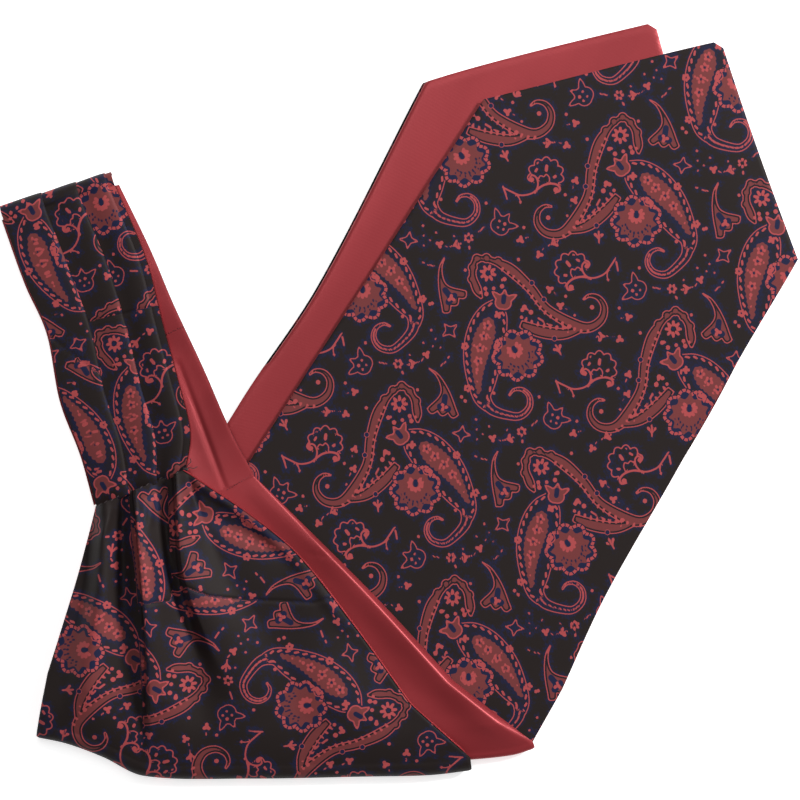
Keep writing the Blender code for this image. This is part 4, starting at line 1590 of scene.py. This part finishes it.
def make_flare():
    """The under blade's fold and its gathered flare, patterned side up."""
    stages = stages_of((FLARE_START, 2.0, 34), (2.0, 3.0, 210))
    data, flat = cut_cloth("under_flare_silk", 230, stages)
    across, stage, level = flat.T
    drop = np.where(level > 0, HEM, edge_drop(across, stage))
    drop = np.where(stage < 1.0, drop + START_TUCK, drop)
    placed = under_half(across, stage, drop)
    spots = placed[:, :2].copy()
    share = np.clip((stage - 2.0) / CREASE_RUN, 0.0, 1.0)
    placed[:, 2] += (creases(spots, FLARE_CREASES) + seam_dip(spots)) * share
    flat_spots = np.column_stack((across * CLOTH_WIDTH, stage * STAGE_LENGTH))
    store(data, flare_pattern(spots), flat_spots)
    return sew(data, placed, above(FOLD_CENTRE), SILK, "under_blade_shell")


flare = make_flare()

# %% [markdown]
# ## The neck band
#
# The front stretch is laid in three knife pleats: its section is a zigzag whose ridges
# point right. The back stretch lies flat behind the loop, and the satin lines both.

# %% Front of the band
PLEATS = 3
PLEAT_EDGES = (0.0, 0.385, 0.72, 1.0)
UNDERLAP = 3.0
PLEAT_RISE = 2.3
LOOP_FILL = 4.2
LOOP_FLATTEN = 0.8
PLEAT_TUCK = 0.4
PLEAT_OVERLAP = 2.5
TUCK_CLEARANCE = 1.8
TUCK_EASE = 0.7
LOOP_RADIUS = LAYER_GAP / 2 + WALL + SEAM
FRONT_LOOP_TURN = math.radians(110.0)
BAND_COLUMNS = 152
GATHER_RUN = 0.025
GATHER_OUT = 1.4
GATHER_DROP = 1.3
BAND_LENGTH = 127.0
BAND_SATIN_WIDTH = 47.0
STRIP_SHIFT = 20.0
POINTS_OF_A_PLEAT = 6
SECTION_POINTS = POINTS_OF_A_PLEAT * PLEATS + 2
FRONT_BOX = (-280, -200, 60, 240)
BACK_BOX = (-260, -160, 40, 220)


def pleat_section(width):
    """The band's section: x across it and height, with the ridges pointing right."""
    edges = [share * (width - UNDERLAP) for share in PLEAT_EDGES]
    points = []
    for pleat in range(PLEATS):
        start = edges[pleat] - (PLEAT_OVERLAP if pleat else 0.0)
        clear = edges[pleat] + (TUCK_CLEARANCE if pleat else SEAM)
        edge = edges[pleat + 1]
        points += [(start, 0.0), (clear, 0.0)]
        points += [(edge - PLEAT_OVERLAP - TUCK_EASE, PLEAT_RISE), (edge, PLEAT_RISE)]
        points += [(edge, PLEAT_RISE - PLEAT_TUCK), (edge - PLEAT_OVERLAP, PLEAT_RISE - PLEAT_TUCK)]
    points += [(width - UNDERLAP - PLEAT_OVERLAP, 0.0), (width, 0.0)]
    return np.array(points)


def rounded_section(width, columns):
    """The section moved out by the wall and rounded at its folds."""
    points = pleat_section(width)
    way = np.diff(points, axis=0)
    way /= np.hypot(way[:, 0], way[:, 1])[:, None]
    out = np.column_stack((-way[:, 1], way[:, 0]))
    before, after = np.vstack((out[:1], out)), np.vstack((out, out[-1:]))
    middle = before + after
    middle /= np.hypot(middle[:, 0], middle[:, 1])[:, None]
    outer = points + middle * (WALL / (middle * before).sum(axis=1))[:, None]
    places = np.linspace(0.0, SECTION_POINTS - 1, columns + 1)
    middle_index = np.clip(np.round(places).astype(int), 1, SECTION_POINTS - 2)
    offset = (places - middle_index)[:, None]
    first, centre, last = outer[middle_index - 1], outer[middle_index], outer[middle_index + 1]
    bent = centre + (last - first) / 2 * offset + (first - 2 * centre + last) / 2 * offset**2
    return bent + (first - 2 * centre + last) / 8


def band_place(rows, stage):
    """Left end, way across and width of rows of the neck band."""
    ends = read_rows(rows, stage)
    left, across = ends[:, :2], ends[:, 2:] - ends[:, :2]
    width = np.hypot(across[:, 0], across[:, 1])
    return left, across / width[:, None], width


def make_band_front():
    """The pleated stretch on top, up and round most of the loop."""
    stages = stages_of((0.0, 1.0, 240), BEND_ROWS)
    data, flat = cut_cloth("band_front_silk", BAND_COLUMNS, stages)
    across_share, stage, level = flat.T
    left, across, width = band_place(FRONT_BAND_ROWS, np.minimum(stage, 1.0))
    column = np.round(across_share * BAND_COLUMNS).astype(int)
    section = np.empty((len(flat), 2))
    for value in np.unique(width):
        rows = width == value
        section[rows] = rounded_section(value, BAND_COLUMNS)[column[rows]]
    fall = np.where(level > 0, HEM, 0.0)
    spot = left + across * section[:, :1]
    centre = left + across * np.clip(section[:, :1], 0.0, width[:, None])
    flat_height = front_lift(centre) + WALL + SEAM + section[:, 1] - fall
    angle = FRONT_LOOP_TURN * np.clip(stage - 1.0, 0.0, 1.0)
    pressed = np.sin(angle)
    radius = LOOP_RADIUS + section[:, 1] * (1 - LOOP_FLATTEN * pressed) + LOOP_FILL * pressed - fall
    out = np.column_stack((-across[:, 1], across[:, 0]))
    round_spot = spot + out * (radius * np.sin(angle))[:, None]
    round_height = LOOP_CENTRE + radius * np.cos(angle)
    looped = stage > 1.0
    placed = np.where(looped[:, None], lay(round_spot, round_height), lay(spot, flat_height))
    pleat = (across_share * (SECTION_POINTS - 1) + 0.5) // POINTS_OF_A_PLEAT
    pleat = np.clip(pleat, 0, PLEATS).astype(int)
    pattern_spots = placed[:, :2].copy()
    seam = np.exp(-((band_seam(pattern_spots, pleat) / SEAM_DIP_WIDTH) ** 2))
    end = np.clip(1 - stage / GATHER_RUN, 0.0, 1.0) ** 2
    placed[:, :2] -= out * (GATHER_OUT * end)[:, None]
    placed[:, 2] -= GATHER_DROP * end + SEAM_DIP * seam * (stage < 1.0)
    flat_spots = np.column_stack((section[:, 0] + STRIP_SHIFT * pleat, stage * BAND_LENGTH))
    store(data, band_pattern(pattern_spots, pleat), flat_spots)
    return sew(data, placed, face_up, SILK, "neck_band_front")


def band_seam(spots, pleat):
    """How far above the centre seam a place is: the seam slants on the first strip."""
    x, y = spots.T
    return np.where(pleat == 0, y - 26.2 + 0.74 * (x + 144.1), y - 32.4 - 0.23 * (x + 126.1))


def band_pattern(spots, pleat):
    """A chart for each strip between two pleats, above and below the centre seam."""
    strip = np.minimum(pleat, 2)
    upper = band_seam(spots, pleat) > 0
    charts = (
        (0, True, repeat_near, -162.4, 82.5, 36.4),
        (0, False, repeat_near, -109.7, -39.4, -140.6),
        (1, True, repeat, -127.4, 109.6, 51.0),
        (1, False, repeat_near, -117.1, 23.0, 19.4),
        (2, True, repeat, -134.6, 112.0, 10.0),
        (2, False, repeat, -90.5, 47.1, 47.0),
    )
    return merged(spots, [
        ((strip == number) & (upper == high), place(x, y, math.radians(turn), FRONT_BOX))
        for number, high, place, x, y, turn in charts
    ])


band_front = make_band_front()

# %% Back of the band and its lining
def loop_place(across_share, turn, radius):
    """Points of the loop under the pleats: turn 0 is above and 1 is below."""
    left, across, width = band_place(FRONT_BAND_ROWS, np.ones(len(turn)))
    out = np.column_stack((-across[:, 1], across[:, 0]))
    angle = math.pi * turn
    spot = left + across * (width * across_share)[:, None]
    spot = spot + out * (radius * np.sin(angle))[:, None]
    return lay(spot, LOOP_CENTRE + radius * np.cos(angle))


def back_place(share, across_share, depth):
    """Points of the back stretch, at a depth above the table side."""
    spot = on_rows(BACK_BAND_ROWS, share, across_share)
    return lay(spot, back_lift(spot) + depth)


def make_band_back():
    """The silk behind the loop, patterned side down."""
    data, flat = cut_cloth("band_back_silk", 44, stages_of((0.0, 1.0, 120), (1.0, 1.3, 6)))
    across, stage, level = flat.T
    depth = np.where(level > 0, HEM, 0.0)
    flat_part = back_place(np.minimum(stage, 1.0), across, depth)
    loop_part = loop_place(across, 2 - stage, LOOP_RADIUS + WALL - depth)
    placed = np.where((stage > 1.0)[:, None], loop_part, flat_part)
    spots = placed[:, :2]
    store(data, weave(spots, repeat(-110.0, 40.0, 1.0, BACK_BOX)), spots)
    return sew(data, placed, face_down, SILK, "neck_band_back")


BACK_SATIN_CREASES = (
    (-62.0, -24.0, -98.0, 52.0, 1.0, 6.0),
    (-91.0, 15.0, -70.5, -39.0, -0.8, 1.1),
    (-84.0, -36.0, -106.0, 10.0, 1.0, 4.5),
    (-110.0, 45.0, -98.0, 18.0, -1.0, 5.0),
)
BACK_OVERLAP = (0.7, -1.5)
OVERLAP_START = 2.95
OVERLAP_RISE = 0.25
SATIN_LIP = 1.6
BACK_EDGE_SHARE = 0.2


def make_band_satin():
    """The satin inside the loop, from the front gathers round to the back ones."""
    stages = stages_of((0.0, 1.0, 90), (1.0, 2.0, 14), (2.0, 3.0, 130))
    data, flat = cut_cloth("band_satin", 60, stages)
    across, stage, level = flat.T
    lip = (across - 0.5) * SATIN_LIP
    front_stage = np.minimum(stage, 1.0)
    way = band_place(FRONT_BAND_ROWS, front_stage)[1]
    front_spot = on_rows(FRONT_BAND_ROWS, front_stage, across) + way * lip[:, None]
    front = lay(front_spot, front_lift(front_spot) + level * HEM)
    loop = loop_place(across, np.clip(stage - 1.0, 0.0, 1.0), LAYER_GAP / 2 + level * HEM)
    depth = PAIR - level * HEM - edge_drop(across, stage) * BACK_EDGE_SHARE
    back = back_place(np.clip(3 - stage, 0.0, 1.0), across, depth)
    end = np.clip((stage - OVERLAP_START) / (3.0 - OVERLAP_START), 0.0, 1.0) ** 2
    back[:, :2] += end[:, None] * np.array(BACK_OVERLAP)
    back[:, 2] += OVERLAP_RISE * end
    back[:, 2] += creases(back[:, :2], BACK_SATIN_CREASES)
    placed = np.where((stage < 2.0)[:, None], loop, back)
    placed = np.where((stage <= 1.0)[:, None], front, placed)
    threads(data, np.column_stack((across * BAND_SATIN_WIDTH, stage * BAND_LENGTH)))
    return sew(data, placed, face_down, SATIN, "neck_band_lining")


band_back = make_band_back()
band_satin = make_band_satin()

# %% [markdown]
# ## Stitches
#
# The maker's hand shows in small stitches: a red row where the back of the band meets
# the flare, a red row across the band, the dark gathering thread at the foot of the
# pleats, and a knot with two loose ends. Each stitch is a small ball stretched between
# two points, and all of one thread are one mesh.

# %% Stitches and thread ends
def make_thread(name, colour, dark):
    """A twisted sewing thread."""
    made, tree, shader = new_material(name)
    place = node(tree, "ShaderNodeTexCoord").outputs["Object"]
    twist = noise(tree, place, 2500.0)
    feed(tree, shader.inputs["Base Color"], blend(tree, twist, colour, dark))
    feed(tree, shader.inputs["Normal"], bump(tree, twist, 0.4, 0.00005))
    shader.inputs["Roughness"].default_value = 0.55
    return made


def add_stitch(mesh, start, end, thick):
    """One short stitch: a ball stretched between two points."""
    start, end = Vector(start), Vector(end)
    way = end - start
    turn = way.to_track_quat("Z", "Y").to_matrix().to_4x4()
    size = Matrix.Diagonal((thick, thick, way.length / 2, 1.0))
    shape = Matrix.Translation((start + end) / 2) @ turn @ size
    bmesh.ops.create_icosphere(mesh, subdivisions=2, radius=1.0, matrix=shape)


WANDER = 0.12
WANDER_TURN = 2.7
STITCH_SHARE = 0.6
STITCH_LIFT = 0.1


def stitch_row(mesh, ends, count, surface, thick, lean=0.0):
    """A row of short stitches between two places, a little uneven as by hand."""
    start, end = np.array(ends[:2]), np.array(ends[2:])
    pitch = (end - start) / count
    side = np.array((-pitch[1], pitch[0]))
    for index in range(count):
        wander = WANDER * math.sin(WANDER_TURN * index)
        first = start + pitch * (index + 0.15) + side * wander
        last = first + pitch * (STITCH_SHARE + wander) + side * lean
        low, high = surface(np.array((first, last))) + STITCH_LIFT
        add_stitch(mesh, (*first, low), (*last, high), thick)


def thread_run(mesh, points, thick):
    """A loose thread along a smooth curve through points with heights."""
    curve = smooth(points, cuts=4)
    for start, end in zip(curve[:-1], curve[1:]):
        way = (end - start) * 0.35
        add_stitch(mesh, start - way, end + way, thick)


def finish_thread(mesh, name, looks):
    """Makes the stitches of one thread a piece, which stands for no node."""
    data = bpy.data.meshes.new(name)
    for vert in mesh.verts:
        vert.co = (vert.co - Vector((*LAYOUT_CENTRE, 0.0))) * MM
    mesh.to_mesh(data)
    mesh.free()
    data.materials.append(looks)
    data.shade_smooth()
    piece = put(name, data)
    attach(piece, "root")
    print(name, "triangles:", len(data.polygons))


def satin_top(points):
    """Height of the satin on the top blade's flare."""
    return back_lift(points) + PAIR + creases(points, TOP_SATIN_CREASES)


def band_satin_top(points):
    """Height of the satin on the neck band's back stretch."""
    return back_lift(points) + PAIR + creases(points, BACK_SATIN_CREASES)


def flare_top(points):
    """Height of the flare's silk."""
    return front_lift(points) + PAIR + flare_relief(points)


def make_red_stitches():
    """The rows that tack the back of the band, and its centre seam."""
    mesh = bmesh.new()
    stitch_row(mesh, (-70.9, -36.9, -58.6, -29.3), 13, satin_top, 0.24)
    stitch_row(mesh, (-96.3, 26.9, -88.6, 30.3), 8, band_satin_top, 0.22)
    looks = make_thread("red_sewing_thread", RED_THREAD, DEEP_RED)
    finish_thread(mesh, "red_stitches", looks)


def make_dark_stitches():
    """The gathering thread at the foot of the pleats, its knot and its two ends."""
    mesh = bmesh.new()
    stitch_row(mesh, (-123.6, -43.4, -89.4, -29.2), 14, flare_top, 0.2, 0.2)
    x, y = KNOT
    high = float(flare_top(np.array([KNOT]))[0]) + 0.5
    for turn in range(4):
        lean = 0.5 * math.cos(1.9 * turn)
        add_stitch(mesh, (x - 1.3, y + lean, high), (x + 1.3, y - lean, high + 0.2), 0.36)
    for loose_end in LOOSE_ENDS:
        run = [(place_x, place_y, high + rise) for place_x, place_y, rise in (KNOT_ROW, *loose_end)]
        thread_run(mesh, run, LOOSE_THREAD)
    looks = make_thread("dark_sewing_thread", DARK_THREAD, GROUND)
    finish_thread(mesh, "dark_stitches", looks)


KNOT = (-87.6, -28.2)
KNOT_ROW = (*KNOT, 0.0)
LOOSE_THREAD = 0.17
# Each loose end: x, y and height above the knot of its points
LOOSE_ENDS = (
    ((-86.0, -27.6, 0.3), (-84.2, -27.9, -0.4), (-82.8, -27.2, -1.0)),
    ((-86.6, -26.6, 0.4), (-85.4, -25.2, -0.2), (-85.6, -24.0, -0.8)),
)
RED_THREAD = (0.20, 0.018, 0.024, 1)
DEEP_RED = (0.07, 0.008, 0.012, 1)
DARK_THREAD = (0.035, 0.02, 0.024, 1)
make_red_stitches()
make_dark_stitches()

# %% [markdown]
# ## The hidden layers
#
# Between the top blade and its flare lie layers that nobody sees but at their edges.
# They are one filling with a groove round it, like two leaves pressed together.

# %% Hidden layers
FILLING_END = 0.97
GROOVE_START = 2.04
GROOVE_LENGTH = 0.89
EDGE_INSET = 1.5
GROOVE_INSET = 4.5
LOW_RIGHT_INSET = 26.0
GROOVE_RIGHT_INSET = 29.0
MOST_INSET = 0.4
LEVEL_STEP = 0.001


def make_inner_layers():
    """Two leaves with a groove between them at the edges."""
    mesh = bmesh.new()
    bmesh.ops.create_grid(mesh, x_segments=40, y_segments=46, size=0.5)
    leaf = WALL / (NEST_STEP - SEAM)
    levels = (leaf, leaf + LEVEL_STEP, 1 - leaf - LEVEL_STEP, 1 - leaf, 1.0)
    top = mesh.faces[:]
    closed_below = False
    for level in levels:
        under = top
        grown = bmesh.ops.extrude_face_region(mesh, geom=under)["geom"]
        top = [item for item in grown if isinstance(item, bmesh.types.BMFace)]
        if closed_below:
            bmesh.ops.delete(mesh, geom=under, context="FACES")
        closed_below = True
        for item in grown:
            if isinstance(item, bmesh.types.BMVert):
                item.co.z = level
    bmesh.ops.recalc_face_normals(mesh, faces=mesh.faces[:])
    data, flat = flat_places(mesh, "inner_layers")
    across = flat[:, 0] + 0.5
    stage = 2.0 + (flat[:, 1] + 0.5) * FILLING_END
    level = flat[:, 2]
    low_leaf = level < leaf + LEVEL_STEP / 2
    groove = ~low_leaf & (level < 1 - leaf - LEVEL_STEP / 2)
    in_groove = GROOVE_START + (stage - 2.0) * GROOVE_LENGTH / FILLING_END
    stage = np.where(groove, in_groove, stage)
    left = np.where(groove, GROOVE_INSET, EDGE_INSET)
    right = np.where(groove, GROOVE_RIGHT_INSET, EDGE_INSET)
    right = np.where(low_leaf, LOW_RIGHT_INSET, right)
    ends = read_rows(TOP_FLARE_ROWS, stage)
    width = np.hypot(ends[:, 2] - ends[:, 0], ends[:, 3] - ends[:, 1])
    inner = left / width
    outer = 1 - np.minimum(right / width, MOST_INSET)
    share = inner + across * (outer - inner)
    here, out = on_line(TOP_FOLD_LINE, share)
    start = here - out * (FOLD_CENTRE - STEP)
    spot = towards(TOP_FLARE_ROWS, stage, share, start_stage=2.0, start=start)
    low = top_blade_lift(spot) + (WALL + SEAM) * held_up(TOP_OUTLINE, spot)
    high = back_lift(spot) + WALL - sag(stage)
    placed = lay(spot, low + level * (high - low))
    store(data, weave(spot, []), spot)
    return sew(data, placed, face_up, SILK, "folded_core")


make_inner_layers()

# %% [markdown]

# %% [markdown]
# ## Floor, light and camera
#
# The cravat lies on a pale floor that glows a little, so that it shows white. Two broad
# square lights shine on it, and it is seen from straight above.

# %% Stage
def make_floor():
    """A plain pale floor."""
    mesh = bmesh.new()
    bmesh.ops.create_grid(mesh, x_segments=1, y_segments=1, size=3.0)
    data = bpy.data.meshes.new("floor")
    mesh.to_mesh(data)
    mesh.free()
    looks, _tree, shader = new_material("floor_paper")
    shader.inputs["Base Color"].default_value = (0.93, 0.93, 0.93, 1)
    shader.inputs["Roughness"].default_value = 0.9
    shader.inputs["Emission Color"].default_value = (1.0, 1.0, 1.0, 1)
    shader.inputs["Emission Strength"].default_value = 0.7
    data.materials.append(looks)
    floor = put("floor", data)
    floor.location.z = -FLOOR_GAP


def make_light(name, place, size, power):
    """A broad square light that points at the cravat."""
    lamp = bpy.data.lights.new(name, "AREA")
    lamp.shape = "SQUARE"
    lamp.size = size
    lamp.energy = power
    made = put(name, lamp)
    made.location = place
    made.rotation_euler = Vector(place).to_track_quat("Z", "Y").to_euler()


FLOOR_GAP = 0.0003
PHOTO_PIXELS = 800
PIXEL = 0.00041
CAMERA_HEIGHT = 1.25
CAMERA_RAISE = 0.006
SENSOR = 36.0


def make_camera():
    """A camera straight above, which frames 800 pixels of the photo's scale."""
    lens = bpy.data.cameras.new("camera")
    lens.sensor_width = SENSOR
    lens.lens = SENSOR * CAMERA_HEIGHT / (PHOTO_PIXELS * PIXEL)
    made = put("camera", lens)
    x, y = LAYOUT_CENTRE
    made.location = (-x * MM, -y * MM, CAMERA_HEIGHT + CAMERA_RAISE)
    bpy.context.scene.camera = made


make_floor()
make_light("key_light", (1.6, 1.0, 1.5), 0.45, 62.0)
make_light("fill_light", (-0.2, 0.6, 1.4), 0.8, 6.0)
world = bpy.context.scene.world or bpy.data.worlds.new("world")
bpy.context.scene.world = world
world.use_nodes = True
backdrop = world.node_tree.nodes["Background"]
backdrop.inputs["Color"].default_value = (1.0, 1.0, 1.0, 1)
backdrop.inputs["Strength"].default_value = 0.15
bpy.context.scene.view_settings.view_transform = "Standard"
make_camera()
